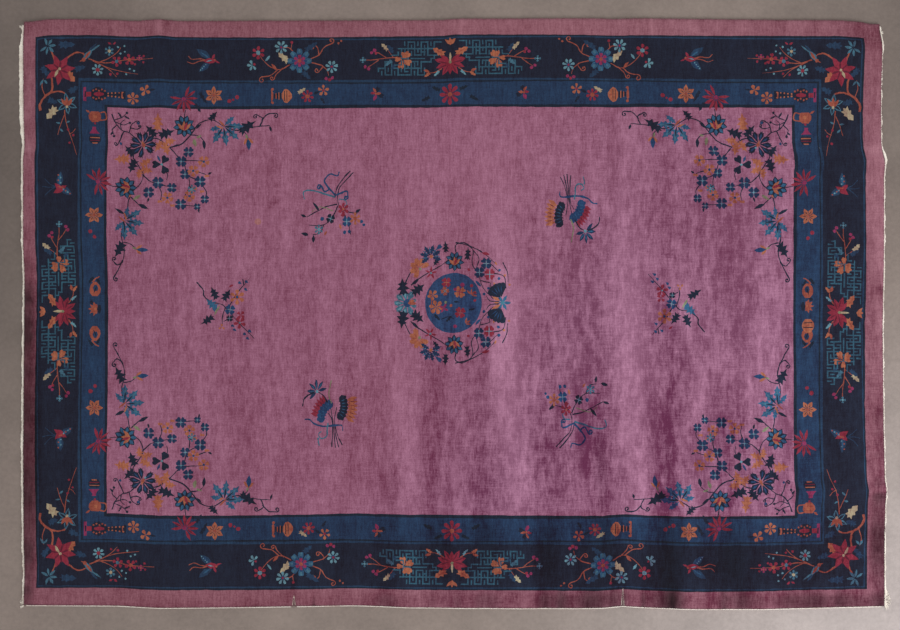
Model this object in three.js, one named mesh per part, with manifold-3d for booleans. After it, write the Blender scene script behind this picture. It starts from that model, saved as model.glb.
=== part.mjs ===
// A hand-knotted wool rug on a cotton foundation, lying flat, in millimetres, +Z up.
// +X runs along its length, +Y towards its back edge, and the origin is at the middle of its underside.
// It keeps an old rug's wavering edges, low ripples across its width and two splits in its front edge.
import * as THREE from "three";
import { mergeVertices } from "three/addons/utils/BufferGeometryUtils.js";
import Module from "manifold-3d";

// The pile between straight edges, and its edge, which bulges most at part of its height.
const PILE_LENGTH = 3540;
const PILE_WIDTH = 2420;
const PILE_THICKNESS = 11;
const RIM_INSET = 3;
const RIM_HEIGHT = 2.5;

// The cotton pieces lie this far from the pile.
const SEAM_GAP = 0.3;

// The selvage cord along the front edge, flat below and above, as high in the middle as the pile's rim.
const CORD_WIDTH = 6;
const CORD_HEIGHT = 2 * RIM_HEIGHT;
const CORD_CORNERS = [0, 60, 120, 180, 240, 300];
const CORD_END_INSET = 5;

// The webs of warp ends at the short sides, thinner at their ragged outer rim.
const WEB_ROOT_HEIGHT = 4.5;
const WEB_RIM_HEIGHT = 2.5;
const WEB_STEP = 40;
const WEB_RAGGED = 2;
const RAGGED_TURN = 2.4;

// The loose locks of warp at the front right corner.
const LOCK_WIDTH = 3;
const LOCK_HEIGHT = 2;
const LOCK_TIP_SHARE = 0.4;
const LOCK_ROOT_DEPTH = 3;

// Points closer than this are one point.
const WELD_DISTANCE = 1e-3;

// Closest spacing of the rows and columns of points over the pile.
const COLUMN_SPACING = 30;
const ROW_SPACING = 45;
const SPLIT_CLEARANCE = 15;

const table = (columns, rows) =>
  rows.map((row) => Object.fromEntries(columns.map((column, i) => [column, row[i]])));

// How far each edge strays outwards, by the distance from the left end or from the front edge.
const FRONT_EDGE = table(["at", "out"], [
  [0, -8], [380, -6], [560, 4], [920, 0], [1100, -3],
  [1370, -8], [1560, 0], [1830, 4], [2380, 4], [2460, -6],
  [2550, 0], [2730, 8], [3040, 8], [3460, -2], [3540, -4],
]);
const BACK_EDGE = table(["at", "out"], [
  [0, -12], [100, 2], [290, 2], [470, -6], [555, 2],
  [640, -6], [1740, -2], [1800, 4], [2380, 6], [2460, 2],
  [2550, 6], [3190, -2], [3400, -2], [3500, -10], [3540, -20],
]);
const LEFT_EDGE = table(["at", "out"], [
  [0, 0], [130, -4], [250, 0], [620, 2], [1370, -4], [1490, 2],
  [1860, 2], [1910, -4], [2050, 0], [2350, 2], [2420, -2],
]);
const RIGHT_EDGE = table(["at", "out"], [
  [0, 8], [240, 8], [425, 12], [474, 18], [520, 10], [770, 4],
  [1170, 0], [1490, 6], [1808, 6], [1858, 12], [1910, -2],
  [1960, -6], [2160, -6], [2350, 0], [2400, -8], [2420, -14],
]);

// Ripples that run from the front edge towards the back: where the crest leaves the front edge and would
// meet the back one, its height, and how far it runs before it lies flat. It keeps its height at first.
const FULL_HEIGHT_SHARE = 1 / 3;
const FOLDS = table(["front", "back", "height", "reach"], [
  [1215, 1215, 2.5, 700],
  [1384, 1370, 3.0, 900],
  [1584, 1490, 5.5, 1500],
  [1782, 1700, 3.5, 1000],
  [2042, 1890, 6.0, 2300],
  [2256, 2210, 4.0, 1300],
  [2515, 2460, 6.5, 2200],
  [2775, 2740, 4.5, 1700],
  [3047, 3010, 4.0, 1500],
]);

// Splits that open from the front edge, each a narrow notch.
const SPLITS = table(["at", "mouth", "depth", "cuts_cord"], [
  [1114, 9, 34, true],
  [2466, 6, 58, false],
]);

// Widths of the end webs by the distance from the front edge.
const LEFT_WEB = table(["at", "width"], [
  [0, 9], [400, 11], [900, 12], [1400, 10], [1900, 12],
  [1980, 19], [2100, 23], [2295, 21], [2350, 12], [2420, 9],
]);
const RIGHT_WEB = table(["at", "width"], [
  [0, 8], [300, 6], [1250, 7], [1780, 7], [1850, 11], [1910, 6], [2420, 6],
]);

// Locks of frayed warp on the right web: place, length and bearing from straight out, towards the back.
const FRAYED_LOCKS = table(["at", "length", "bearing"], [
  [14, 22, -58],
  [22, 26, -28],
  [31, 30, -8],
  [40, 27, 22],
  [49, 23, 40],
]);

const FINISHES = {
  wool: { color: 0x8b5872, roughness: 0.92 },
  web: { color: 0xc8bcae, roughness: 0.95 },
  cord: { color: 0xb9ada0, roughness: 0.9 },
};

// The value of a table's column at a distance, on straight lines between its rows.
function along(rows, column, at) {
  const next = rows.findIndex((row) => row.at >= at);
  if (next <= 0) return rows.at(next)[column];
  const [a, b] = [rows[next - 1], rows[next]];
  return THREE.MathUtils.mapLinear(at, a.at, b.at, a[column], b[column]);
}

// Ripples lean: a column of points that starts at a crest stays on it all the way to the back.
const LEAN = [
  { at: 0, back: 0 },
  ...SPLITS.slice(0, 1).map(({ at }) => ({ at, back: at })),
  ...FOLDS.map(({ front, back }) => ({ at: front, back })),
  { at: PILE_LENGTH, back: PILE_LENGTH },
];

// Height of the underside over the floor, on the column that starts at `column` on the front edge.
function lift(column, row) {
  let height = 0;
  FOLDS.forEach((fold, i) => {
    const before = i ? FOLDS[i - 1].front : 2 * SPLITS[0].at - fold.front;
    const after = i + 1 < FOLDS.length ? FOLDS[i + 1].front : 2 * fold.front - before;
    const half = (column < fold.front ? fold.front - before : after - fold.front) / 2;
    const off = Math.min(1, Math.abs(column - fold.front) / half);
    const fade = 1 - THREE.MathUtils.smoothstep(row, fold.reach * FULL_HEIGHT_SHARE, fold.reach);
    height += fold.height * fade * (1 + Math.cos(Math.PI * off)) / 2;
  });
  return height;
}

// How far a split draws the front edge in, fading over the first row of points.
function splitDepth(column, row) {
  const fadeRow = LEFT_EDGE[1].at;
  const split = SPLITS.find(({ at, mouth }) => Math.abs(column - at) < mouth / 2);
  if (!split || row >= fadeRow) return 0;
  return split.depth * (1 - Math.abs(column - split.at) / (split.mouth / 2)) * (1 - row / fadeRow);
}

// A point of the pile: the column by its start on the front edge, the row by its distance from that edge.
function place(column, row, height) {
  const across = row / PILE_WIDTH;
  const x = THREE.MathUtils.lerp(column, along(LEAN, "back", column), across);
  const end = x / PILE_LENGTH;
  const strayX = THREE.MathUtils.lerp(-along(LEFT_EDGE, "out", row), along(RIGHT_EDGE, "out", row), end);
  const strayY = THREE.MathUtils.lerp(-along(FRONT_EDGE, "out", x), along(BACK_EDGE, "out", x), across);
  return new THREE.Vector3(
    x + strayX - PILE_LENGTH / 2,
    row + strayY + splitDepth(column, row) - PILE_WIDTH / 2,
    lift(column, row) + height,
  );
}

// A closed body through loops of points. Each loop runs anticlockwise as seen from the body's far end,
// and the first and last either close on themselves or are capped by a fan.
function sweep(loops, capped) {
  const points = loops.flat();
  const count = loops[0].length;
  const faces = [];
  for (let i = 0; i + 1 < loops.length; i++) {
    for (let k = 0; k < count; k++) {
      const [a, b] = [i * count + k, i * count + ((k + 1) % count)];
      faces.push([a, b, b + count], [a, b + count, a + count]);
    }
  }
  if (capped) {
    const last = (loops.length - 1) * count;
    for (let k = 1; k + 1 < count; k++) {
      faces.push([0, k + 1, k], [last, last + k, last + k + 1]);
    }
  }
  const geometry = new THREE.BufferGeometry().setFromPoints(points).setIndex(faces.flat());
  const welded = mergeVertices(geometry, WELD_DISTANCE);
  const kept = [];
  for (let i = 0; i < welded.index.count; i += 3) {
    const face = [0, 1, 2].map((k) => welded.index.getX(i + k));
    if (new Set(face).size === 3) kept.push(...face);
  }
  return welded.setIndex(kept);
}

// Distances with any closer than `gap` to the one before left out.
function spaced(distances, gap) {
  const kept = [];
  for (const at of [...distances].sort((a, b) => a - b)) {
    if (!kept.length || at - kept.at(-1) >= gap) kept.push(at);
  }
  return kept;
}

// Columns of points: the edges' own places, four for each ripple and three at each split.
function pileColumns() {
  const splits = SPLITS.flatMap(({ at, mouth }) => [at - mouth / 2, at, at + mouth / 2]);
  const crests = [SPLITS[0].at, ...FOLDS.map(({ front }) => front)];
  const ripples = crests.flatMap((at, i) => {
    const span = (crests[i + 1] ?? 2 * at - crests[i - 1]) - at;
    return [0, 0.25, 0.5, 0.75].map((share) => at + share * span);
  });
  const rippled = (at) => at > crests[0] - COLUMN_SPACING && at < ripples.at(-1) + COLUMN_SPACING;
  const plain = [...FRONT_EDGE, ...BACK_EDGE].map(({ at }) => at).filter((at) => !rippled(at));
  const inner = spaced([...plain, ...ripples], COLUMN_SPACING)
    .filter((at) => at > COLUMN_SPACING && at < PILE_LENGTH - COLUMN_SPACING)
    .filter((at) => splits.every((split) => Math.abs(split - at) > SPLIT_CLEARANCE));
  return [RIM_INSET, ...inner, ...splits, PILE_LENGTH - RIM_INSET].sort((a, b) => a - b);
}

// Rows of points at the places where either short side changes course.
function pileRows() {
  const inner = spaced([...LEFT_EDGE, ...RIGHT_EDGE].map(({ at }) => at), ROW_SPACING)
    .filter((at) => at > ROW_SPACING && at < PILE_WIDTH - ROW_SPACING);
  return [RIM_INSET, ...inner, PILE_WIDTH - RIM_INSET];
}

// The pile: loops round its section from end to end, closed to a line at each end's rim.
function pileBody() {
  const rows = pileRows();
  const loopAt = (column, underside, top) => [
    ...rows.map((row) => place(column, row, underside)),
    place(column, PILE_WIDTH, RIM_HEIGHT),
    ...rows.toReversed().map((row) => place(column, row, top)),
    place(column, 0, RIM_HEIGHT),
  ];
  return sweep([
    loopAt(0, RIM_HEIGHT, RIM_HEIGHT),
    ...pileColumns().map((column) => loopAt(column, 0, PILE_THICKNESS)),
    loopAt(PILE_LENGTH, RIM_HEIGHT, RIM_HEIGHT),
  ], false);
}

// A stretch of selvage cord along the front edge, rising with the ripples.
function cordBody(from, to) {
  const inner = pileColumns().filter((at) => at > from && at < to && !splitDepth(at, 0));
  const steepest = Math.sin(THREE.MathUtils.degToRad(CORD_CORNERS[1]));
  const loops = [from, ...inner, to].map((column) => {
    const middle = place(column, 0, CORD_HEIGHT / 2);
    middle.y -= SEAM_GAP + CORD_WIDTH / 2;
    return CORD_CORNERS.map((corner) => {
      const turn = THREE.MathUtils.degToRad(corner);
      const across = (CORD_WIDTH / 2) * Math.cos(turn);
      const up = (CORD_HEIGHT / 2) * (Math.sin(turn) / steepest);
      return new THREE.Vector3(middle.x, middle.y + across, middle.z + up);
    });
  });
  return sweep(loops, true);
}

// Places along a short side's rim, with each stretch between two rows of the pile divided evenly.
function rimPlaces(column) {
  const rows = [0, ...pileRows(), PILE_WIDTH];
  return rows.slice(1).reduce((places, end, i) => {
    const parts = Math.ceil((end - rows[i]) / WEB_STEP);
    for (let part = 1; part <= parts; part++) {
      const point = place(column, rows[i], 0).lerp(place(column, end, 0), part / parts);
      places.push({ row: THREE.MathUtils.lerp(rows[i], end, part / parts), point });
    }
    return places;
  }, [{ row: 0, point: place(column, 0, 0) }]);
}

// A web along one short side. `side` is -1 at the left end and 1 at the right.
function webBody(widths, side) {
  const loops = rimPlaces(side < 0 ? 0 : PILE_LENGTH).map(({ row, point }, i) => {
    const rag = WEB_RAGGED * Math.sin(RAGGED_TURN * i + Math.sin(i));
    const inner = point.x + side * SEAM_GAP;
    const outer = inner + side * (along(widths, "width", row) + rag);
    const loop = [
      new THREE.Vector3(inner, point.y, 0),
      new THREE.Vector3(outer, point.y, 0),
      new THREE.Vector3(outer, point.y, WEB_RIM_HEIGHT),
      new THREE.Vector3(inner, point.y, WEB_ROOT_HEIGHT),
    ];
    return side < 0 ? loop : loop.reverse();
  });
  return sweep(loops, true);
}

// A tapering lock of warp threads that lies on the floor, rooted inside the right web.
function lockBody({ at, length, bearing }) {
  const turn = THREE.MathUtils.degToRad(bearing);
  const out = new THREE.Vector3(Math.cos(turn), Math.sin(turn), 0);
  const aside = new THREE.Vector3(-out.y, out.x, 0);
  const start = place(PILE_LENGTH, at, 0).setZ(0);
  start.x += SEAM_GAP + LOCK_ROOT_DEPTH;
  const loops = [0, 0.5, 1].map((share) => {
    const middle = start.clone().addScaledVector(out, share * length);
    const half = (LOCK_WIDTH / 2) * THREE.MathUtils.lerp(1, LOCK_TIP_SHARE, share);
    return [
      middle.clone().addScaledVector(aside, -half),
      middle.clone().addScaledVector(aside, half),
      middle.clone().setZ(LOCK_HEIGHT),
    ];
  });
  return sweep(loops, true);
}

const wasm = await Module();
wasm.setup();

function joined(bodies) {
  const solids = bodies.map((body) => new wasm.Manifold(new wasm.Mesh({
    numProp: 3,
    vertProperties: new Float32Array(body.getAttribute("position").array),
    triVerts: new Uint32Array(body.index.array),
  })));
  const mesh = solids.reduce((whole, solid) => whole.add(solid)).getMesh();
  return new THREE.BufferGeometry()
    .setAttribute("position", new THREE.BufferAttribute(mesh.vertProperties, 3))
    .setIndex(new THREE.BufferAttribute(mesh.triVerts, 1));
}

function cloth(name, geometry, finish) {
  geometry.computeVertexNormals();
  const mesh = new THREE.Mesh(geometry, new THREE.MeshStandardMaterial(finish));
  mesh.name = name;
  return mesh;
}

// The cord is broken at the split that cuts it.
const broken = SPLITS.find((split) => split.cuts_cord);
const leftCord = cordBody(CORD_END_INSET, broken.at - broken.mouth / 2);
const rightCord = cordBody(broken.at + broken.mouth / 2, PILE_LENGTH - CORD_END_INSET);
const rightWeb = joined([webBody(RIGHT_WEB, 1), ...FRAYED_LOCKS.map(lockBody)]);

const laid = new THREE.Group();
laid.add(
  cloth("rug", pileBody(), FINISHES.wool),
  cloth("end_web_left", webBody(LEFT_WEB, -1), FINISHES.web),
  cloth("end_web_right", rightWeb, FINISHES.web),
  cloth("selvage_front_left", leftCord, FINISHES.cord),
  cloth("selvage_front_right", rightCord, FINISHES.cord),
);

// The origin is the middle of the whole rug's box, on the floor.
const middle = new THREE.Box3().setFromObject(laid).getCenter(new THREE.Vector3());
laid.position.set(-middle.x, -middle.y, 0);
const rug = new THREE.Group();
rug.add(laid);

export default rug;
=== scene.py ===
import math

import bpy
import numpy as np
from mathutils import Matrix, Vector
from mathutils.bvhtree import BVHTree
from mathutils.geometry import delaunay_2d_cdt


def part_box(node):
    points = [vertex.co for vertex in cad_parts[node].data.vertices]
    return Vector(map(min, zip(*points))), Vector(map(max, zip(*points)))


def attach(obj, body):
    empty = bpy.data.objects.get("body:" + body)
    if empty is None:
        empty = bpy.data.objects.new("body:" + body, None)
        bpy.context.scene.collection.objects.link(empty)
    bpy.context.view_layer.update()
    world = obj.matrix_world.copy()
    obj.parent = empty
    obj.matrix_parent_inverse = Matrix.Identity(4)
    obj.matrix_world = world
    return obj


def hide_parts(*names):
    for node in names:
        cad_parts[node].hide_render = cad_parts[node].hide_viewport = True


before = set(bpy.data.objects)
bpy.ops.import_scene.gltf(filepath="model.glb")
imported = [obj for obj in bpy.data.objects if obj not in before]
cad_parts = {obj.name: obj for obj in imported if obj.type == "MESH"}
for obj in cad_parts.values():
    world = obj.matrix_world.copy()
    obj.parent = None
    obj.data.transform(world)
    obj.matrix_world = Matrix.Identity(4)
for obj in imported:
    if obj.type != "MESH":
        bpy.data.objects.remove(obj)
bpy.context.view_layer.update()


# How the rug lies.
# The knotted cloth wavers at its edges and lies in low ripples that start at its front edge. Both are read
# off the rug's solid, and the finer creases of an old rug that was often folded are laid over them.
PILE_THICK = 0.011
RIM_PROBE_HEIGHTS = np.arange(0.0005, 0.0105, 0.001)
PROBE_FAR = 3.0
STATION_STEP = 0.01
STATION_INSET = 0.03
LIFT_CELL = 0.02
LIFT_SOFTEN = 0.035
RIPPLE_SPAN = 0.13

pile_low, pile_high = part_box("rug")


def solid_of(node):
    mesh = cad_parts[node].data
    mesh.calc_loop_triangles()
    return BVHTree.FromPolygons([v.co for v in mesh.vertices], [t.vertices for t in mesh.loop_triangles])


def stations(low, high):
    return np.arange(low + STATION_INSET, high - STATION_INSET, STATION_STEP)


def rim_reach(solid, axis, side, places):
    """How far out the solid reaches on one side, at each place along it, without the narrow splits."""
    reach = []
    for place in places:
        start = Vector((place, place, 0))
        start[axis] = side * PROBE_FAR
        inwards = Vector((0, 0, 0))
        inwards[axis] = -side
        hits = []
        for height in RIM_PROBE_HEIGHTS:
            start.z = height
            hit = solid.ray_cast(start, inwards)[0]
            if hit is not None:
                hits.append(side * hit[axis])
        reach.append(side * max(hits))
    reach = np.array(reach)
    padded = np.pad(reach, 2, mode="edge")
    return np.median([padded[k:k + len(reach)] for k in range(5)], axis=0)


def softened(field, cells):
    """A height field blurred by a bell of that many cells."""
    reach = int(3 * cells) + 1
    bell = np.exp(-0.5 * (np.arange(-reach, reach + 1) / cells) ** 2)
    bell /= bell.sum()
    for axis in (0, 1):
        padded = np.pad(field, [(reach, reach) if a == axis else (0, 0) for a in (0, 1)], mode="edge")
        field = np.apply_along_axis(np.convolve, axis, padded, bell, mode="valid")
    return field


rug_solid = solid_of("rug")
long_places = stations(pile_low.x, pile_high.x)
short_places = stations(pile_low.y, pile_high.y)
front_rim = rim_reach(rug_solid, 1, -1, long_places)
back_rim = rim_reach(rug_solid, 1, 1, long_places)
left_rim = rim_reach(rug_solid, 0, -1, short_places)
right_rim = rim_reach(rug_solid, 0, 1, short_places)

lift_x = np.arange(pile_low.x + LIFT_CELL, pile_high.x - LIFT_CELL, LIFT_CELL)
lift_y = np.arange(pile_low.y + LIFT_CELL, pile_high.y - LIFT_CELL, LIFT_CELL)
lift_field = np.zeros((len(lift_x), len(lift_y)))
for i, x in enumerate(lift_x):
    for j, y in enumerate(lift_y):
        under = rug_solid.ray_cast(Vector((x, y, -PROBE_FAR)), Vector((0, 0, 1)))[0]
        lift_field[i, j] = under.z if under is not None else 0
lift_field = softened(lift_field, LIFT_SOFTEN / LIFT_CELL)
ripple_field = lift_field - softened(lift_field, RIPPLE_SPAN / LIFT_CELL)


def read_field(field, x, y):
    """A field's value between its cells."""
    i = np.clip((x - lift_x[0]) / LIFT_CELL, 0, len(lift_x) - 1.001)
    j = np.clip((y - lift_y[0]) / LIFT_CELL, 0, len(lift_y) - 1.001)
    i0, j0 = i.astype(int), j.astype(int)
    a, b = i - i0, j - j0
    near = field[i0, j0] * (1 - b) + field[i0, j0 + 1] * b
    far = field[i0 + 1, j0] * (1 - b) + field[i0 + 1, j0 + 1] * b
    return near * (1 - a) + far * a


# The design's own measures are centimetres from its middle, x to the right and y to the back. The middle is
# not quite the pile's: the border was woven wider at the right end and the front.
PILE_LEFT, PILE_RIGHT = -176.0, 178.0
PILE_FRONT, PILE_BACK = -121.4, 120.6


def laid(points):
    """Where points of the design lie on the floor, in metres."""
    across = (points.real - PILE_LEFT) / (PILE_RIGHT - PILE_LEFT)
    deep = (points.imag - PILE_FRONT) / (PILE_BACK - PILE_FRONT)
    x = pile_low.x + across * (pile_high.x - pile_low.x)
    y = pile_low.y + deep * (pile_high.y - pile_low.y)
    left, right = np.interp(y, short_places, left_rim), np.interp(y, short_places, right_rim)
    front, back = np.interp(x, long_places, front_rim), np.interp(x, long_places, back_rim)
    return left + across * (right - left), front + deep * (back - front)


MILLIMETRE = 0.001
# Creases: both ends and half width in the design's centimetres, and height in millimetres, below 0 a trough.
CREASES = [
    (-64.9-121j, -64.6-88j, 0.9, -2.4), (-56.7-121j, -56.9-109j, 1.0, -1.8),
    (-80.6-121j, -80.2-112j, 1.2, -1.5), (70.2-121j, 70.0-96j, 0.8, -2.2),
    (78.0-121j, 77.6-104j, 1.0, -1.6), (90.5-121j, 90.6-110j, 1.1, -1.4),
    (-120.5+120j, -120.3+96j, 1.6, 1.8), (3.8+120j, 3.2+84j, 1.5, 2.2), (82.0+120j, 81.6+70j, 1.6, 1.6),
    (-33.0+120j, -32.6+98j, 1.0, 1.0), (-176+66.6j, -120+65.5j, 1.2, 1.6), (178+66j, 128+66.8j, 1.4, 2.4),
    (178-73j, 140-72j, 1.3, 2.0), (-176+15j, -140+13.6j, 1.3, 1.4), (178+3.4j, 150+2.6j, 1.2, 1.2),
    (-126+40j, -104+57j, 2.2, 1.0), (-118+33j, -93+52j, 2.0, -0.8), (60+48j, 22+40j, 2.2, 0.8),
]


def along_lines(points, lines):
    """What a table of lines adds up to at points, each strongest at its start and along its middle."""
    total = np.zeros(len(points))
    for start, end, half, strength in lines:
        run = end - start
        along = ((points - start) * np.conj(run)).real / abs(run) ** 2
        aside = abs(points - start - np.clip(along, 0, 1) * run) / half
        total += strength * np.clip(1 - along, 0, 1) ** 0.7 * np.exp(-aside ** 2)
    return total


def crease_height(points):
    return MILLIMETRE * along_lines(points, CREASES)


# The dyes.
# Wool yarn dyed by hand in the skein. Each name stands for one colour of yarn, as it looks in daylight.
def dyed(red, green, blue):
    srgb = np.array([red, green, blue]) / 255
    return tuple(np.where(srgb <= 0.04045, srgb / 12.92, ((srgb + 0.055) / 1.055) ** 2.4))


DYES = {
    "rose": dyed(138, 87, 101), "mauve": dyed(148, 93, 118), "navy": dyed(28, 31, 48),
    "midnight": dyed(25, 33, 48), "guard": dyed(34, 54, 80), "blue": dyed(34, 53, 82),
    "ink": dyed(28, 33, 50), "slate": dyed(36, 56, 82), "teal": dyed(62, 98, 118),
    "sky": dyed(92, 130, 144), "azure": dyed(47, 82, 112), "deep": dyed(36, 62, 98),
    "crimson": dyed(128, 40, 58), "wine": dyed(92, 30, 48), "magenta": dyed(128, 44, 80),
    "coral": dyed(142, 73, 60), "ochre": dyed(156, 90, 68), "ivory": dyed(158, 142, 118),
    "sage": dyed(116, 116, 92), "disc": dyed(44, 66, 102), "cotton": dyed(214, 204, 190),
    "fret": dyed(47, 82, 101), "plum": dyed(30, 47, 76), "faded": dyed(154, 98, 100),
}


# The ground of the design.
# A rose edge, a navy border between guard lines, a blue band and the mauve field, knotted row by row, so
# that every line wavers by a knot. The design is a list of outlines, each with its dye, later ones on top.
GROUND_STEP = 2.4
KNOT = 0.12
# Each ground: its dye, and how far it reaches to the left, right, front and back of the middle.
GROUND = [
    ("midnight", 171.1, 170.6, 114.3, 113.9), ("guard", 170.4, 169.9, 113.6, 113.2),
    ("navy", 169.9, 169.4, 113.1, 112.7), ("guard", 153.4, 153.0, 95.4, 96.1),
    ("midnight", 152.5, 152.1, 94.5, 95.2), ("blue", 151.9, 151.5, 93.9, 94.6),
    ("midnight", 142.7, 142.1, 84.6, 85.5), ("mauve", 141.5, 140.9, 83.4, 84.3),
]
BAND_BEND = 0.2
BEND_ALONG_END, BEND_ALONG_SIDE = 17, 23
rng = np.random.default_rng(1928)
design = []


def straight(corners, step):
    """Points along a closed run of straight sides, no further apart than the step."""
    run = []
    for start, end in zip(corners, corners[1:] + corners[:1]):
        parts = max(1, round(abs(end - start) / step))
        run.extend(start + (end - start) * k / parts for k in range(parts))
    return np.array(run)


for dye, left, right, front, back in GROUND:
    corners = [-left - 1j * front, right - 1j * front, right + 1j * back, -left + 1j * back]
    outline = straight(corners, GROUND_STEP)
    across = np.sin(outline.imag / BEND_ALONG_END + right)
    deep = np.sin(outline.real / BEND_ALONG_SIDE + front)
    bend = BAND_BEND * (across + 1j * deep)
    waver = rng.normal(0, KNOT / 2, len(outline)) + 1j * rng.normal(0, KNOT / 2, len(outline))
    design.append((outline + bend + waver, dye))


# Border corners.
# On the navy border each corner has a coral branch with a crimson lily, a small perched bird, plum twigs
# along both sides, and blue leaves that barely show. Measured from the border's outer corner, and turned over
# to the other corners as the weaver turns the drawing over.
# Half outlines of leaves and petals, from the root at nought to the tip at one.
HALF_OUTLINES = {
    "leaf": [0, 0.2+0.3j, 0.45+0.5j, 0.75+0.32j, 1],
    "slim": [0, 0.3+0.42j, 0.6+0.5j, 0.85+0.24j, 1],
    "jagged": [0, 0.14+0.16j, 0.08+0.46j, 0.33+0.28j, 0.42+0.5j, 0.6+0.24j, 0.76+0.34j, 1],
    "lobed": [0, 0.12+0.1j, 0.06+0.44j, 0.32+0.2j, 0.36+0.56j, 0.56+0.2j, 0.66+0.42j, 0.74+0.13j, 1],
    "feathered": [0, 0.2+0.14j, 0.27+0.42j, 0.4+0.22j, 0.52+0.54j, 0.63+0.26j, 0.74+0.44j, 0.82+0.17j, 1],
    "round": [0, 0.3+0.2j, 0.62+0.46j, 0.86+0.44j, 0.98+0.22j, 1],
    "notched": [0, 0.3+0.2j, 0.66+0.48j, 0.92+0.4j, 1+0.2j, 0.88],
    "pointed": [0, 0.25+0.3j, 0.5+0.5j, 0.76+0.3j, 1],
    "toothed": [0, 0.34+0.24j, 0.66+0.5j, 0.84+0.34j, 1+0.42j, 0.9+0.18j, 1.04],
}


def leaf(dye, root, tip, width, form="leaf"):
    half = np.array(HALF_OUTLINES[form], complex)
    half.imag *= width / abs(tip - root)
    return [(root + (tip - root) * np.concatenate([half, half[-2:0:-1].conj()]), dye)]


def leaves(dye, form, *laid_out):
    """Leaves of one form, each given by its root, tip and width."""
    return [shape for root, tip, width in laid_out for shape in leaf(dye, root, tip, width, form)]


def fan(dye, at, radius, petals, width, facing=90, spread=360, form="pointed", inner=0.0):
    """Petals round a point, over a spread of degrees about the way they face."""
    step = spread / petals if spread == 360 else spread / (petals - 1)
    first = facing - (0 if spread == 360 else spread / 2)
    shapes = []
    for k in range(petals):
        way = np.exp(1j * math.radians(first + step * k))
        shapes += leaf(dye, at + inner * radius * way, at + radius * way, width, form)
    return shapes


def dot(dye, at, radius, sides=8):
    return [(at + radius * np.exp(2j * np.pi * (np.arange(sides) + 0.5) / sides), dye)]


def dots(dye, *laid_out, sides=8):
    """Dots of one dye, each given by its place and radius."""
    return [shape for at, radius in laid_out for shape in dot(dye, at, radius, sides)]


def smooth(points, steps=4):
    """A smooth line through points."""
    ends = [2 * points[0] - points[1], *points, 2 * points[-1] - points[-2]]
    t = np.arange(steps) / steps
    run = [
        0.5 * (2 * b + (c - a) * t + (2 * a - 5 * b + 4 * c - d) * t ** 2 + (3 * b - a - 3 * c + d) * t ** 3)
        for a, b, c, d in zip(ends, ends[1:], ends[2:], ends[3:])
    ]
    return np.append(np.concatenate(run), points[-1])


def run_of_knots(dye, line, width, tip=0.6):
    """A line of knots as wide as given, narrowing to a share of that at its tip."""
    aside = np.gradient(line)
    aside = 1j * aside / abs(aside) * np.linspace(width, tip * width, len(line)) / 2
    return [(np.concatenate([line + aside, (line - aside)[::-1]]), dye)]


def stem(dye, width, *points, tip=0.6):
    return run_of_knots(dye, smooth(points), width, tip)


def stems(dye, *laid_out, tip=0.6):
    """Stems of one dye, each given by its width and the points that it runs through."""
    return [shape for width, *points in laid_out for shape in stem(dye, width, *points, tip=tip)]


PETAL_SHARE = 3.105


def bloom(dye, at, radius, petals, heart, form="round", width=None, core=0.34, tilt=0):
    """An open flower with a round heart."""
    width = width or PETAL_SHARE * radius / petals
    return fan(dye, at, radius, petals, width, 90 + tilt, 360, form, 0.12) + dot(heart, at, core * radius)


def mirrored(shapes, at, turned=False, sides=((-1, 1), (1, 1), (-1, -1), (1, -1))):
    """Figures drawn from a point of one quarter, x and y towards the middle, laid on every side."""
    copies = []
    for sx, sy in sides:
        for outline, dye in shapes:
            towards = outline.imag + 1j * outline.real if turned else outline
            copies.append((sx * (at.real - towards.real) + 1j * sy * (at.imag - towards.imag), dye))
    return copies


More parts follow.
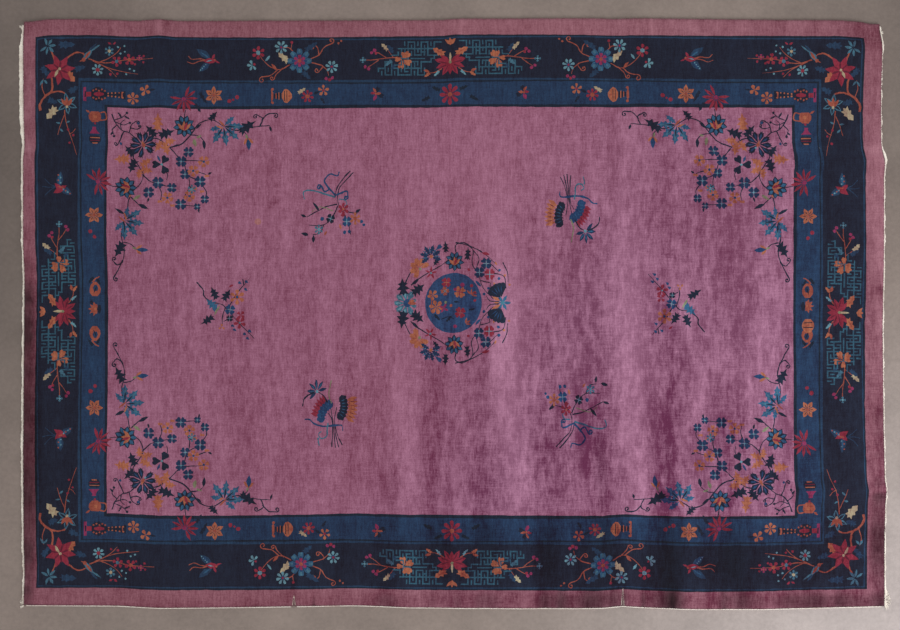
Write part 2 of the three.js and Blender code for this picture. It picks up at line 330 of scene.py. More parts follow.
corner_branch = (
    stems("coral", (0.95, 1.7+30.6j, 1.5+28j, 3.4+25.2j, 6.2+23.2j, 6.7+19.6j, 6.3+16.4j, 8+12.6j, 7.4+9.4j,
        6.2+6.2j), (0.7, 5.6+23.8j, 9+23.1j, 12+24.1j, 12.7+27.4j),
        (0.75, 9.4+12j, 13+9.2j, 16.6+7.1j, 19.4+7.5j, 20.4+9.2j))
    + stems("coral", (0.5, 21.6+9.6j, 26+11j, 31+10.9j, 36+9.7j, 42+9.3j, 48.2+9.2j),
        (0.45, 23.4+10.4j, 28+12.5j, 33.4+14.1j, 42+15.3j), tip=0.4)
    + stems("coral", (0.36, 27+12j, 30.6+14.2j, 33.2+16.8j), (0.36, 26+11j, 30+9.2j, 33.2+6.8j, 35+4.6j),
        (0.36, 3.6+24.8j, 2.4+21j, 3+17.6j))
    + stem("coral", 0.45, 11.6+30.8j, 12.2+36j, 14+42j, 16.6+49.4j, tip=0.4)
    + stems("coral", (0.34, 11.5+33j, 9.8+37j, 8.6+41j), (0.34, 13.2+40.8j, 14.8+40j, 16+38.4j))
    + leaves("slate", "jagged", (9.2+3.9j, 16.2+3.7j, 3.4), (2+12.4j, 5.4+16.8j, 2.8),
        (15.8+14.2j, 20.4+12.9j, 3), (13.2+23.6j, 17.4+21.2j, 3), (4.6+26.4j, 8.8+27.9j, 3))
    + leaf("ochre", 12.2+14.6j, 15.9+19j, 3.8, "jagged") + leaf("ivory", 8.4+29.4j, 4.2+34.4j, 4, "jagged")
    + fan("teal", 4.8+4.4j, 3.6, 6, 1.1, 20, 260, "slim", 0.1)
    + leaves("teal", "slim", (3+17.8j, 1.6+20.2j, 0.9), (3.1+18j, 4.6+20j, 0.9))
    + fan("crimson", 9.7+14.2j, 6.5, 7, 2.7, 96, 360, "pointed")
    + fan("wine", 9.7+14.2j, 4.2, 7, 0.8, 122, 360, "slim") + leaf("ivory", 9.2+14j, 7.6+17.2j, 1.2)
    + dot("ivory", 9.6+13.8j, 0.6) + fan("teal", 12.6+28.2j, 4.6, 6, 2, 82, 360, "pointed")
    + fan("navy", 12.6+28.2j, 3.8, 6, 0.9, 82, 360, "slim")
    + fan("coral", 12.6+29.4j, 4.2, 3, 1.6, -90, 70, "pointed") + dot("ivory", 12.6+29.4j, 0.6)
    + leaf("teal", 19.2+10.4j, 23.2+5.8j, 2.3) + leaf("coral", 20+9.8j, 22.6+6.2j, 1.2)
    + leaf("teal", 22+7j, 26.4+3.8j, 0.8, "slim") + leaf("slate", 21.6+6.6j, 25+3.2j, 0.8, "slim")
    + dot("coral", 19.6+10j, 0.8) + leaf("coral", 19.3+10.2j, 17.9+10.8j, 0.5)
    + bloom("sky", 25.4+14.1j, 2.4, 7, "crimson") + bloom("teal", 30.2+6.2j, 2, 6, "ivory")
    + bloom("crimson", 33.2+10.3j, 2.2, 5, "teal") + bloom("crimson", 38.4+9.4j, 2.4, 5, "coral", tilt=30)
    + bloom("magenta", 42.6+8.6j, 1.2, 4, "coral")
    + leaves("crimson", "leaf", (29.6+2.6j, 31.2+3.4j, 0.9), (31.6+3.4j, 33+2.4j, 0.9))
)
for at in (33.8+4.4j, 36.4+3.8j, 36.6+6.2j, 34.8+7j, 38.6+13.2j, 37.2+15.4j, 40.4+13.9j):
    corner_branch += dot("sky", at, 0.45, 6)
for at in (40.8+11.2j, 44.4+8j, 44.2+10.5j, 30.6+15.8j, 33.4+15.4j, 12.9+38.8j, 15+41.2j, 13.4+44.3j):
    corner_branch += dot("crimson", at, 0.55, 6)
for root, tip in ((9.9+36.4j, 8+36j), (9.4+38.4j, 11+39.8j), (12.2+36.2j, 13.8+35.2j)):
    corner_branch += leaf("teal", root, tip, 0.8, "slim")
design += mirrored(corner_branch, 170.7+113.9j)


# Flying birds of the border.
# A crimson bird with blue wings and trailing coral tail feathers, between the corners and the side groups.
flying_bird = (
    leaves("slate", "leaf", (1.2-0.8j, -4.4-4.6j, 2.8), (1.2+0.6j, -3.6+4.8j, 2.8))
    + leaf("azure", 0.6-1j, -2.6-3.2j, 0.7, "slim") + leaf("deep", 0.2+1.4j, -2.6+4.2j, 1, "slim")
    + stems("coral", (0.42, 0, -3.4+0.4j, -6+1.4j, -8.4+0.6j), (0.42, 0.2j, -3-0.6j, -6.4-0.4j, -8-1.8j))
    + leaves("crimson", "leaf", (-1.6+0.4j, 3.8+0.2j, 2.4), (1.8-0.4j, 3-2.6j, 1.1),
        (3+0.4j, 5.2+1.2j, 0.8)) + leaf("sky", -0.6+0.5j, 2-0.1j, 0.5) + dot("coral", 3-0.2j, 0.45, 6)
)
resting_bird = (
    leaves("slate", "leaf", (0.4-0.2j, -6.4+0.4j, 3), (0.2j, 3.4+5.2j, 3))
    + leaves("azure", "slim", (-0.8, -5.2+0.2j, 1.1), (0.8+1j, 2.8+4.2j, 1.1))
    + stems("slate", (0.36, -1.6j, -1.2-4j, -3.6-6.2j), (0.36, -1.8j, 0.2-4.4j, -0.4-7.2j),
        (0.36, -1.6j, 1.6-4j, 3.4-6j))
    + leaves("crimson", "leaf", (2.6-2.4j, -0.6+3j, 2.6), (-1.4-2j, 1.6+1.2j, 2))
    + leaf("coral", -0.2-1j, 0.6+2.2j, 0.6)
)
for k in range(4):
    flying_bird += dot("sky", -0.8 - 0.7 * k + (1.8 + 0.75 * k) * 1j, 0.3, 6)
    resting_bird += dot("coral" if k % 2 else "sky", -1.6 - 1.1 * k + (0.5 - k % 2) * 1j, 0.34, 6)
    resting_bird += dot("coral" if k % 2 else "sky", 1 + 0.6 * k + (1.6 + 0.9 * k) * 1j, 0.34, 6)
design += mirrored(flying_bird, 100.0+104.4j)
design += mirrored(resting_bird, 161.0+51.4j, turned=True)


# Long-side flower groups of the border.
# A large teal flower with a magenta heart on coral scrolls, with smaller flowers and an ivory leaf.
def scroll(dye, width, curl, *points, hand=1, turns=0.9):
    """A stem that ends in a curl, to its left if the hand is 1."""
    line = smooth(points)
    onwards = line[-1] - line[-2]
    middle = line[-1] + 1j * hand * curl * onwards / abs(onwards)
    turned = np.linspace(0, turns, 11)[1:]
    curled = middle + (line[-1] - middle) * np.exp(2j * np.pi * hand * turned) * (1 - 0.72 * turned / turns)
    return run_of_knots(dye, np.concatenate([line, curled]), width, 0.9) + dot(dye, curled[-1], 0.8 * width)


side_group = (
    stem("coral", 0.4, -4+1.6j, -8+3.6j, -12+2.4j, -15.4-0.8j, -16.8-3.2j)
    + scroll("coral", 0.38, 1.3, -9+3.6j, -12+6j, -15.6+6.6j, hand=-1)
    + scroll("coral", 0.38, 1, -7+3j, -9.6+5.6j, -10.4+7.4j)
    + stems("coral", (0.38, -2-3j, -4.4-5.4j, -7-5.4j), (0.36, -3.6-4.6j, -3.2-7j))
    + scroll("coral", 0.4, 1.2, 4-0.6j, 8-2.4j, 10.2-5.6j, 13.6-7.2j, hand=-1)
    + scroll("coral", 0.38, 1, 8-2.4j, 7.4-5.4j, 6-6.4j, hand=-1)
    + scroll("coral", 0.4, 1.1, 5+0.8j, 9.4+2.2j, 8+4.6j, hand=1)
    + stem("coral", 0.36, 9+1.8j, 11.4+4j, 12+6.2j)
    + leaves("slate", "jagged", (2-4j, 7.4-7.6j, 2.6), (1+4.4j, 4.6+7.6j, 2.6))
    + leaf("ivory", -4.2+0.8j, -8.8-3.4j, 3, "jagged") + leaf("coral", -9.4+3.4j, -11.6+1.2j, 1.2)
    + fan("azure", 0, 5.1, 8, 2.5, 90, 360, "notched") + fan("teal", 0, 4.9, 8, 1.2, 90, 360, "round", 0.5)
    + fan("deep", 0, 3.2, 8, 1.4, 90, 360, "round") + fan("magenta", 0, 2.5, 6, 1.5, 90, 360, "round")
    + dot("coral", 0, 0.8) + bloom("crimson", -17-3.4j, 2.7, 6, "sky")
    + bloom("sky", -7.6-5.6j, 2.7, 7, "deep") + dot("crimson", -7.6-5.6j, 0.5, 6)
    + fan("sky", -19.4+1.8j, 2.2, 4, 1.2, 150, 200, "round") + dot("crimson", -18.6+1.4j, 0.5, 6)
    + bloom("sky", 13.3+2.5j, 2.6, 7, "deep") + dot("crimson", 13.3+2.5j, 0.55, 6)
    + dots("coral", (16-7.2j, 0.5), (17.2-8.2j, 0.45), sides=6)
    + leaf("sky", -14+0.2j, -12.2-2.2j, 0.9, "slim") + dot("magenta", 11+7.4j, 0.7)
    + dot("crimson", 12.4+7.9j, 0.7) + dot("magenta", 13.6+7.1j, 0.7) + dot("crimson", -3.2-7.6j, 0.6)
)
design += mirrored(side_group, 62.1+104.0j)


# Middle groups of the border.
# A crimson lotus between coral leaves in a teal key fret, with an ochre peony and berries on each arm.
FRET_WIDTH = 0.54
FRET_PITCH = 1.35
FRET_MOVES = {"r": 1, "l": -1, "d": 1j, "u": -1j}


def fret(start, moves):
    """A line of key fret from a start, by letters for moves of one pitch right, left, down and up."""
    shapes = []
    at = start
    while moves:
        letter = moves[0]
        steps = len(moves) - len(moves.lstrip(letter))
        moves = moves[steps:]
        onwards = at + FRET_PITCH * steps * FRET_MOVES[letter]
        low = complex(min(at.real, onwards.real), min(at.imag, onwards.imag)) - (1+1j) * FRET_WIDTH / 2
        high = complex(max(at.real, onwards.real), max(at.imag, onwards.imag)) + (1+1j) * FRET_WIDTH / 2
        shapes.append((np.array([low, high.real + 1j * low.imag, high, low.real + 1j * high.imag]), "fret"))
        at = onwards
    return shapes


FRET_LINES = [
    (3.9-7j, "rrddrruurrddrruurrddrr"), (6.6-4.3j, "dldrrruurrddrruurrddrruur"),
    (7.9-0.25j, "drrrddrruurrddr"), (10.6+3.8j, "ddrruurrddrrrruurrddrruurrd"), (13.3+1.1j, "rrddrruu"),
    (9.3-4.3j, "rdr"), (22.8+3.8j, "ruurrdd"), (16-1.6j, "rddrruu"),
]
FRET_CORNER = 3.9-7j
fret_arm = [shape for start, moves in FRET_LINES for shape in fret(start, moves)]
fret_arm += (
    stems("coral", (0.42, 17.6-0.2j, 23-0.6j, 28-0.2j, 32+0.4j, 35.4+0.4j),
        (0.36, 26.4-0.6j, 29.4-2.4j, 31.2-3j), (0.36, 29.4+0.2j, 32+2.2j, 34+3.4j),
        (0.36, 23.4-0.6j, 25.4-3.2j, 26-4.4j), (0.4, 3.4+4j, 6.4+5.6j, 9.4+5.8j))
    + leaf("ochre", 2.2-1.4j, 7.2-4.4j, 3.2, "jagged") + leaf("coral", 3.2-2.2j, 6-3.8j, 0.7, "slim")
    + fan("ochre", 19.6+0.2j, 3.9, 3, 2.7, 152, 150, "notched", 0.05)
    + fan("ochre", 19.6+0.2j, 3.2, 2, 2.2, -50, 92, "notched", 0.05)
    + fan("coral", 19.6+0.2j, 2.7, 5, 0.45, 120, 360, "slim", 0.3)
    + leaf("ivory", 25.4-3.6j, 28.4-6.4j, 2.2, "jagged") + leaf("slate", 23.6-2.4j, 26-6j, 2.4, "jagged")
    + leaf("teal", 24+0.4j, 26.8+2.8j, 1.8, "jagged") + leaf("slate", 22.4+2j, 24.2+4.2j, 1.6, "jagged")
    + dots("magenta", (31.2-3.6j, 0.75), (32.4-2.6j, 0.7)) + dot("crimson", 30.6-2.4j, 0.6)
    + dots("magenta", (33.6+4j, 0.75), (35+3.2j, 0.7)) + bloom("teal", 36+0.4j, 1.3, 4, "sky")
    + leaf("ochre", 8.2+5.6j, 10.6+7.4j, 1.5, "jagged") + leaf("coral", 8.6+5.2j, 11+4.6j, 1.2)
    + leaf("sky", 4.4+4.8j, 6.6+7.2j, 1.3, "jagged")
    + leaves("crimson", "leaf", (0.4+1.6j, 6.4+0.2j, 2.6), (0.4+1.6j, 5.8+3.8j, 2.4),
        (0.2+1.6j, 3.2+6.8j, 2.3), (0.2+1.4j, 4.2-1.6j, 1.8))
    + leaves("wine", "slim", (1+2j, 5.2+1j, 0.6), (0.6+2.6j, 2.6+6j, 0.6), (1+2.4j, 4.8+3.8j, 0.7))
    + leaf("ochre", -0.4-5.6j, 2.2-8j, 1.4)
)
# Short hooks of the fret: column and row from its corner, and moves.
FRET_HOOKS = [
    (3, 0, "d"), (5, 2, "u"), (7, 0, "d"), (9, 2, "u"), (11, 0, "d"), (5, 4, "u"), (7, 2, "d"), (9, 4, "u"),
    (11, 2, "d"), (5, 5, "rrrr"), (10, 5, "rr"), (2, 4, "dr"), (6, 8, "d"), (8, 10, "u"), (11, 8, "dl"),
    (12, 8, "d"), (14, 10, "u"), (16, 8, "d"), (18, 10, "u"), (7, 6, "d"), (12, 6, "drr"), (13, 3, "drr"),
]
for column, row, moves in FRET_HOOKS:
    fret_arm += fret(FRET_CORNER + FRET_PITCH * (column + 1j * row), moves)
lotus_heart = (
    leaf("crimson", 1.6j, 6.6j, 2.2) + leaf("ivory", 2.4j, -2.6j, 1, "slim")
    + leaf("ochre", -5.4j, -8.4j, 1.6) + dot("sage", 1.6j, 0.6)
)
design += mirrored(fret_arm, 104.6j)
design += mirrored(lotus_heart, 104.6j, sides=((1, 1), (1, -1)))
design += mirrored(fret_arm, 161.6, turned=True)
design += mirrored(lotus_heart, 161.6, turned=True, sides=((1, 1), (-1, 1)))


# Treasures of the blue band.
# Vases, censers, jars and flowers in coral, ochre and crimson, with dark leaves. Measured along the band from
# near its corner, and from its middle line: outwards on the long sides, and inwards on the short ones.
def moved(shapes, place):
    return [(place(outline), dye) for outline, dye in shapes]


def turned_pot(dye, start, end, *halves):
    """A pot by its half widths at even steps from its foot to its lip."""
    axis = end - start
    steps = np.linspace(0, 1, len(halves))
    half = 1j * axis / abs(axis) * np.array(halves)
    return [(np.concatenate([start + steps * axis + half, (start + steps * axis - half)[::-1]]), dye)]


def fan_flower(at, facing):
    """A spiky half flower of slim petals that reaches over the band's edge."""
    return (
        fan("crimson", at, 5.8, 9, 1.2, facing, 250, "slim", 0.12)
        + fan("wine", at, 4.4, 6, 0.5, facing, 190, "slim", 0.3) + dot("magenta", at, 0.9)
    )


def six_petals(at, radius=3.6):
    return (
        fan("ochre", at, 1.08 * radius, 6, 0.58 * radius, 90, 360, "pointed", 0.08)
        + fan("ink", at, 0.7 * radius, 6, 0.3, 90, 360, "slim", 0.3) + dot("coral", at, 0.7, 6)
    )


def butterfly(at, way):
    wings = (
        leaves("ink", "notched", (0, 2.6-2.2j, 2), (0, 2+2.2j, 1.8)) + leaf("coral", 0, 2.4-0.6j, 1.1)
        + leaf("magenta", 0.2-0.4j, -1.8-2.4j, 1.5) + leaf("crimson", 0.2j, -2+1j, 1.2)
        + leaf("coral", 0.4+0.4j, -0.2+2.8j, 1) + dot("coral", 0, 0.5, 6)
    )
    return moved(wings, lambda z: at + z * np.exp(1j * math.radians(way)))


def censer(at, way):
    """A footed incense burner with its stand, lying along the band."""
    burner = (
        turned_pot("coral", -4.4, -3.5, 1.6, 1.5) + scroll("coral", 0.5, 0.5, -3.9-1.2j, -4.2-2.6j, hand=1)
        + scroll("coral", 0.5, 0.5, -3.9+1.2j, -4.2+2.6j, hand=-1)
        + turned_pot("ink", -3.4, 0, 1, 0.7, 1.5, 1.1) + turned_pot("coral", -2.5, -2.1, 1.1, 1.2)
        + turned_pot("ochre", -1.3, -0.9, 1.6, 1.4) + turned_pot("ochre", 0, 4.2, 1, 2.7, 3, 2.2, 0.7)
        + turned_pot("ink", 1, 1.3, 2, 2.2) + turned_pot("ink", 2, 2.3, 2.2, 2.2) + leaf("coral", 2.4, 4, 1)
    )
    return moved(burner, lambda z: at + z * np.exp(1j * math.radians(way)))


band_long = (
    turned_pot("magenta", 0.2, 1.4, 2.8, 2.9) + turned_pot("navy", 0.7, 1.2, 1.2, 1.2)
    + turned_pot("crimson", 1.4, 3.6, 1, 0.9) + turned_pot("ink", 3.4, 9.8, 1.6, 2.8, 3, 2.2, 0.8)
    + turned_pot("ink", 9.4, 17.6, 0.7, 0.8, 1.3, 0.9, 1.5, 1.8) + turned_pot("coral", 15.8, 16.4, 1.2, 1.3)
    + turned_pot("crimson", 4.4, 8.6, 0.4, 1, 0.4)
    + fan("ochre", 20.6-1.2j, 2.5, 6, 1.4, 90, 360, "round", 0.15) + dot("coral", 20.6-1.2j, 0.5, 6)
    + fan("ochre", 25.6+2j, 2.3, 4, 1.6, 60, 360, "round") + leaf("ink", 27+2j, 30+2.2j, 1)
    + fan_flower(41.6-1.2j, -60)
    + leaves("ink", "jagged", (48+1.8j, 51-3.2j, 1.8), (46.2-3j, 48.6-6.8j, 1.8)) + six_petals(54+0.2j)
    + dots("crimson", (60.4-2.2j, 0.9), (63.6-0.6j, 0.9)) + dot("crimson", 62-1.6j, 0.5, 6)
    + censer(82-0.2j, 0) + leaf("ivory", 88.6+0.8j, 92+3j, 1.9, "jagged")
    + bloom("crimson", 92.6-0.4j, 2.6, 7, "coral") + leaf("ink", 95+0.4j, 97.6+1.8j, 1.2)
    + fan("ochre", 99.2+2j, 2.3, 5, 1.3, 90, 360, "round", 0.15) + dot("crimson", 99.2+2j, 0.5, 6)
    + leaf("ink", 98-0.8j, 99.8-3.6j, 1.4, "jagged") + butterfly(120.8+0.6j, 20)
    + leaves("midnight", "jagged", (143.4-0.6j, 139.6-2.6j, 1.9), (147.6+1.8j, 144+3.4j, 1.8))
)
for step in range(5):
    for side in (-1, 1):
        band_long += dot("coral", 4.2 + 1.2 * step + 1j * side * (1.5 + 0.5 * (step % 2)), 0.42, 6)
        band_long += dot("ochre", 10.4 + 1.5 * step + 1j * side * (0.5 + 0.14 * step), 0.36, 6)
design += mirrored(moved(band_long, np.conj), 151.4+89.7j)
middle_bloom = bloom("crimson", 0, 4.3, 8, "coral", "round", 1.7, 0.22)
middle_bloom += fan("wine", 0, 2.6, 8, 0.4, 112, 360, "slim", 0.3)
design += mirrored(middle_bloom, 89.8j, sides=((1, 1), (1, -1)))

band_short = (
    fan_flower(29.4+1.8j, 112) + six_petals(43.2+0.2j, 3.4)
    + dots("crimson", (50-1.4j, 0.9), (52.2+0.4j, 0.8))
    + turned_pot("coral", 0.5+0.4j, 4.9+0.4j, 1.6, 2.6, 2.4, 1.2)
    + stem("coral", 0.55, 1.1+2j, 0.7+4.6j, 3.5+5j, 4.1+2j, tip=1) + dot("ochre", 2.5+0.6j, 0.8)
    + leaf("coral", 1.1-1.4j, -0.3-3.4j, 0.9) + dot("crimson", 5.4+0.4j, 0.5)
    + turned_pot("magenta", 6.8, 9.6, 0.8, 0.7, 1.3, 2.2)
    + turned_pot("ink", 10.4+0.2j, 13.6+0.2j, 1.8, 2.6, 2.4, 1.6)
    + turned_pot("ochre", 11+0.2j, 11.4+0.2j, 1.9, 2.1) + turned_pot("wine", 12.1+0.2j, 12.6+0.2j, 2.1, 1.9)
    + turned_pot("ochre", 13.2+0.2j, 13.7+0.2j, 1.1, 1)
    + leaves("midnight", "jagged", (68.6-0.4j, 71.4-2.6j, 1.6), (69.4+0.8j, 72+2.4j, 1.4))
    + turned_pot("coral", 70.8+0.2j, 76.8+0.2j, 0.7, 1.9, 2.3, 2.1, 1)
    + turned_pot("blue", 72+0.4j, 74.6+0.4j, 0.5, 1.1, 0.7) + stem("coral", 0.6, 71-1j, 69.4+0.4j, 68.6+2j)
    + leaf("ink", 72.4+0.8j, 75.6-0.4j, 0.6, "slim")
)
design += mirrored(band_short, 147+83j, turned=True)
crown = (
    fan("coral", 0.6j, 3, 5, 1.2, -90, 150, "pointed")
    + turned_pot("coral", -1.9+0.8j, 1.9+0.8j, 0.4, 0.6, 0.4)
    + turned_pot("ink", -1.8+2.2j, 1.8+2.2j, 0.5, 0.9, 0.5) + dot("ochre", 0.6j, 0.5, 6)
    + dot("ink", -2.8-1j, 0.8)
)
jar = (
    turned_pot("ochre", -2.6, 3, 1.2, 2.3, 2.6, 2, 0.8) + turned_pot("ink", -1.4, -1, 1.7, 1.9)
    + turned_pot("ink", 0.6, 1, 2, 1.9) + leaf("coral", -0.6, 0.4, 1.6)
)
BAND_MIDDLE = 147.2
for side, treasure, along in ((-1, crown, 1), (1, crown, 2.8), (1, jar, -5.2)):
    design += moved(treasure, lambda z: side * (BAND_MIDDLE - z.imag) + 1j * (along - z.real))


# Corner sprays of the field.
# From each corner two arms of blue lilies, navy leaves and scroll tendrils run along the sides, and a drift
# of four-petalled plum blossom falls towards the middle. Measured from the field's corner.
FIELD_LILY = 8.4


def lily(at, facing):
    """A feathery blue lily: long toothed petals one way and short ones back."""
    return (
        fan("azure", at, FIELD_LILY, 4, 3.1, facing, 122, "feathered", 0.06)
        + fan("azure", at, 0.72 * FIELD_LILY, 2, 2.3, facing, 204, "feathered", 0.06)
        + fan("teal", at, 0.86 * FIELD_LILY, 4, 0.8, facing, 118, "slim", 0.4)
        + fan("ink", at, 0.62 * FIELD_LILY, 4, 0.6, facing, 118, "slim", 0.1)
    )


def blossom(dye, cross, at, size, tilt=0):
    """Four two-lobed petals parted by a thin cross."""
    way = np.exp(1j * math.radians(tilt))
    half = np.array([0.09+0.09j, 0.62+0.07j, 1+0.22j, 0.98+0.58j, 0.7+0.7j])
    petal = np.concatenate([half, 1j * half[-2:0:-1].conj()])
    shapes = [(at + size * way * 1j ** k * petal, dye) for k in range(4)]
    for k in range(2):
        arm = np.array([-0.62-0.06j, 0.62-0.06j, 0.62+0.06j, -0.62+0.06j])
        shapes.append((at + size * way * 1j ** k * arm, cross))
    return shapes


def rosette(at, radius, facing):
    """A blue flower of toothed petals round a tulip-shaped coral heart."""
    foot = at - 0.4 * radius * np.exp(1j * math.radians(facing))
    return (
        fan("ink", at, radius, 9, 0.6 * radius, facing + 20, 360, "pointed", 0.1)
        + fan("azure", at, 0.92 * radius, 9, 0.3 * radius, facing + 20, 360, "pointed", 0.4)
        + fan("ochre", foot, 0.86 * radius, 3, 0.3 * radius, facing, 84)
        + leaf("crimson", foot, foot + 0.8 * radius * np.exp(1j * math.radians(facing + 18)), 0.24 * radius)
    )


field_corner = (
    stems("ink", (0.52, 1.4+1.8j, 2.6+5j, 5.2+8.2j, 8.4+9.4j, 11.4+12j, 13+14j),
        (0.48, 2.2+4.4j, 5.4+3.2j, 7.4+1.4j), (0.48, 3.4+6.4j, 1.4+8.4j, 2.2+10.6j))
    + scroll("ink", 0.48, 0.9, 8.4+9.4j, 9.4+6j, 11.6+4.4j)
    + scroll("ink", 0.48, 0.9, 6.2+8.8j, 4.6+12.4j, 3.6+14.4j)
    + scroll("ink", 0.44, 0.7, 9+7.2j, 11.4+7.8j, 13+7.2j, hand=-1)
    + stems("ink", (0.6, 13.6+14.2j, 18.6+11.8j, 22.4+13.4j, 25.4+15.8j, 28+18.4j),
        (0.6, 25+15.4j, 30.4+13.4j, 34.2+9.4j, 37.6+5.2j, 42.6+3.8j, 47.4+6.4j),
        (0.54, 47+6j, 52.4+8.2j, 57+7.2j, 62.4+6.6j, 66.6+6.2j), (0.5, 33.6+10j, 37+10.4j, 39+12.2j),
        (0.48, 31+6j, 31.6+1j, 32-0.4j)) + scroll("ink", 0.5, 1, 62.4+6.6j, 63.6+3.4j, 61.2+1.8j, hand=-1)
    + scroll("ink", 0.5, 1.1, 63.2+4.2j, 65.8+1.6j, 69+1.2j, hand=1) + leaf("ink", 66.4+6.4j, 67.2+8.8j, 1)
    + stems("ink", (0.5, 55+8j, 57+10.2j, 57.4+12j),
        (0.6, 12.8+15.2j, 10+18.6j, 12.8+23.4j, 14.4+27j, 12.4+31.4j, 8.6+32.8j),
        (0.56, 14.2+26.6j, 17.4+29.6j, 20.4+30.4j), (0.56, 10.4+33j, 8.6+36.4j, 7.8+41j, 6.6+45j),
        (0.5, 9+35.6j, 11.4+37.8j, 14+40.4j), (0.48, 7.4+32j, 3+31.8j, 0.4+31.4j),
        (0.54, 6.4+46j, 5.4+52j, 6.6+58j, 5.6+63j), (0.5, 6.4+54.6j, 9.4+55.4j, 11.8+57.6j))
    + scroll("ink", 0.5, 1, 5.6+63j, 3.4+64.2j, 1.6+62.4j, hand=1)
    + scroll("ink", 0.5, 1.1, 5.8+62j, 3.6+66.4j, 1.8+69.4j, hand=-1)
    + leaves("ink", "jagged", (5.4+3.2j, 4+1j, 1), (6.4+2.4j, 8.8+3.6j, 1))
    + leaf("ink", 2+9j, 0.6+10.6j, 0.9)
    + stems("ink", (0.44, 2.6+5j, 6+6.2j, 8.6+5.2j), (0.44, 5.2+8.2j, 5+5.6j, 6.6+4j))
    + dots("ink", (8.8+5.2j, 0.6), (7.6+1.2j, 0.6), (2.2+11j, 0.6), sides=6)
    + dots("deep", (12.4+5.4j, 0.6), (4.8+14j, 0.6), sides=6)
    + leaf("ochre", 20+9j, 20.6+1.2j, 4.4, "lobed")
    + leaves("ink", "lobed", (19.6+11.4j, 15.2+6.2j, 3.8), (20.4+11j, 27.2+8.2j, 4.4))
    + leaves("ochre", "lobed", (22.6+13j, 24.6+19j, 3.8), (23+13.2j, 27.8+12.4j, 3.4),
        (22+12.8j, 18.8+17.6j, 3.2))
    + leaves("ink", "lobed", (10.6+19j, 6.4+14.6j, 3.6), (11+20j, 8.8+26.2j, 4.2))
    + leaves("ochre", "lobed", (9+20j, 2.2+20.6j, 4.4), (13+23j, 18.2+20j, 3.4),
        (13.4+24j, 18.4+25.8j, 3.4), (13+24j, 12.6+28.8j, 2.8))
    + leaf("ink", 41.4+4.2j, 45+0.4j, 3, "lobed")
    + leaves("ink", "leaf", (36+7.6j, 38.4+5.2j, 1), (39+12j, 39.4+16j, 1.5))
    + leaf("ink", 53.6+9.2j, 61+4.2j, 4.6, "lobed")
    + leaves("sage", "leaf", (35+11.4j, 35.8+15j, 1.6), (36+11.2j, 38.4+10.2j, 1))
    + leaves("ink", "leaf", (6.8+43j, 2.6+40.8j, 1.4), (12.2+38.6j, 16.6+40.8j, 1.6))
    + leaf("sage", 10.2+37j, 13.4+34.8j, 1.4) + leaf("ink", 6.4+54.4j, 2.6+61j, 4.4, "lobed")
    + leaf("ochre", 9.6+35.4j, 6.6+34.8j, 1.6, "jagged")
    + fan("ink", 14+14.2j, 5.5, 9, 2.4, 250, 300, "toothed", 0.1)
    + fan("deep", 14+14.2j, 4.7, 9, 0.6, 250, 300, "slim", 0.4) + leaf("ochre", 14.6+15.4j, 13.4+12.4j, 1.1)
    + dot("coral", 14.2+14.4j, 0.8) + dot("sky", 15.2+15.6j, 0.45, 6) + rosette(31.2+6.4j, 4.7, -90)
    + rosette(7.2+32j, 4.7, 180) + lily(47.4+6.4j, 62) + leaf("coral", 48.4+7j, 45.4+3.8j, 0.9)
    + leaf("ochre", 47.6+7.4j, 44.2+6.2j, 0.9) + lily(6.6+45.6j, 28)
    + leaf("coral", 7.4+46.6j, 4+43.8j, 0.9)
    + leaves("ochre", "leaf", (7.6+45.6j, 6.4+42j, 0.9), (57.2+11.4j, 55.6+14.2j, 1.2),
        (57.4+11.4j, 59.6+13.6j, 1.2)) + leaf("deep", 57.4+11.6j, 57.8+16.6j, 2.1)
    + leaf("sage", 57.2+11.8j, 56.6+9.8j, 0.9)
    + leaves("ochre", "leaf", (11.4+57.2j, 14.2+55.6j, 1.2), (11.4+57.4j, 13.6+59.6j, 1.2))
    + leaf("deep", 11.6+57.4j, 16.6+57.8j, 2.1) + leaf("sage", 11.8+57.2j, 9.8+56.6j, 0.9)
    + fan("ink", 22+22.6j, 4, 3, 3.5, 60, 360, "notched", 0.04) + dot("sky", 22+22.6j, 0.55, 6)
    + leaf("deep", 21.4+21.6j, 20+18.8j, 1)
    + stems("ink", (0.44, 22.6+24j, 24.4+26.4j, 24+29j), (0.5, 28+18.4j, 31+21.4j, 32.6+26.4j, 36.8+28.6j),
        (0.44, 31+20.6j, 35+20.6j, 39.6+20.8j), (0.44, 33+27j, 33.4+31j, 31+36j),
        (0.44, 38.2+30.4j, 40.4+33.4j, 39.8+36.4j), (0.44, 20.8+31.4j, 22+34.6j, 21.4+37.4j),
        (0.44, 20.4+30.6j, 25.6+31.8j), (0.44, 30.4+38.8j, 36+39.4j), (0.44, 36.2+25j, 40.4+26.4j))
)
PLUM_BLOSSOMS = [
    (32.8+17.1j, 2.1), (29.9+20.9j, 2.2), (31.6+26.2j, 2), (37.8+29.3j, 2.3), (20.5+30.1j, 2.3),
    (16.6+34j, 2.2), (26.2+31.9j, 1.9), (29.8+38.6j, 2.2), (39.7+36.6j, 1.7), (36.6+39.6j, 1.4),
]
for at, size in PLUM_BLOSSOMS:
    field_corner += blossom("plum", "teal", at, size) + dot("sky", at, 0.4, 6)
for at in (39.2+21j, 35+24.8j, 24.4+36.2j, 33.4+35.2j):
    field_corner += fan("ochre", at, 2.4, 5, 1.9, 90, 360, "notched", 0.1) + dot("deep", at, 0.55, 6)
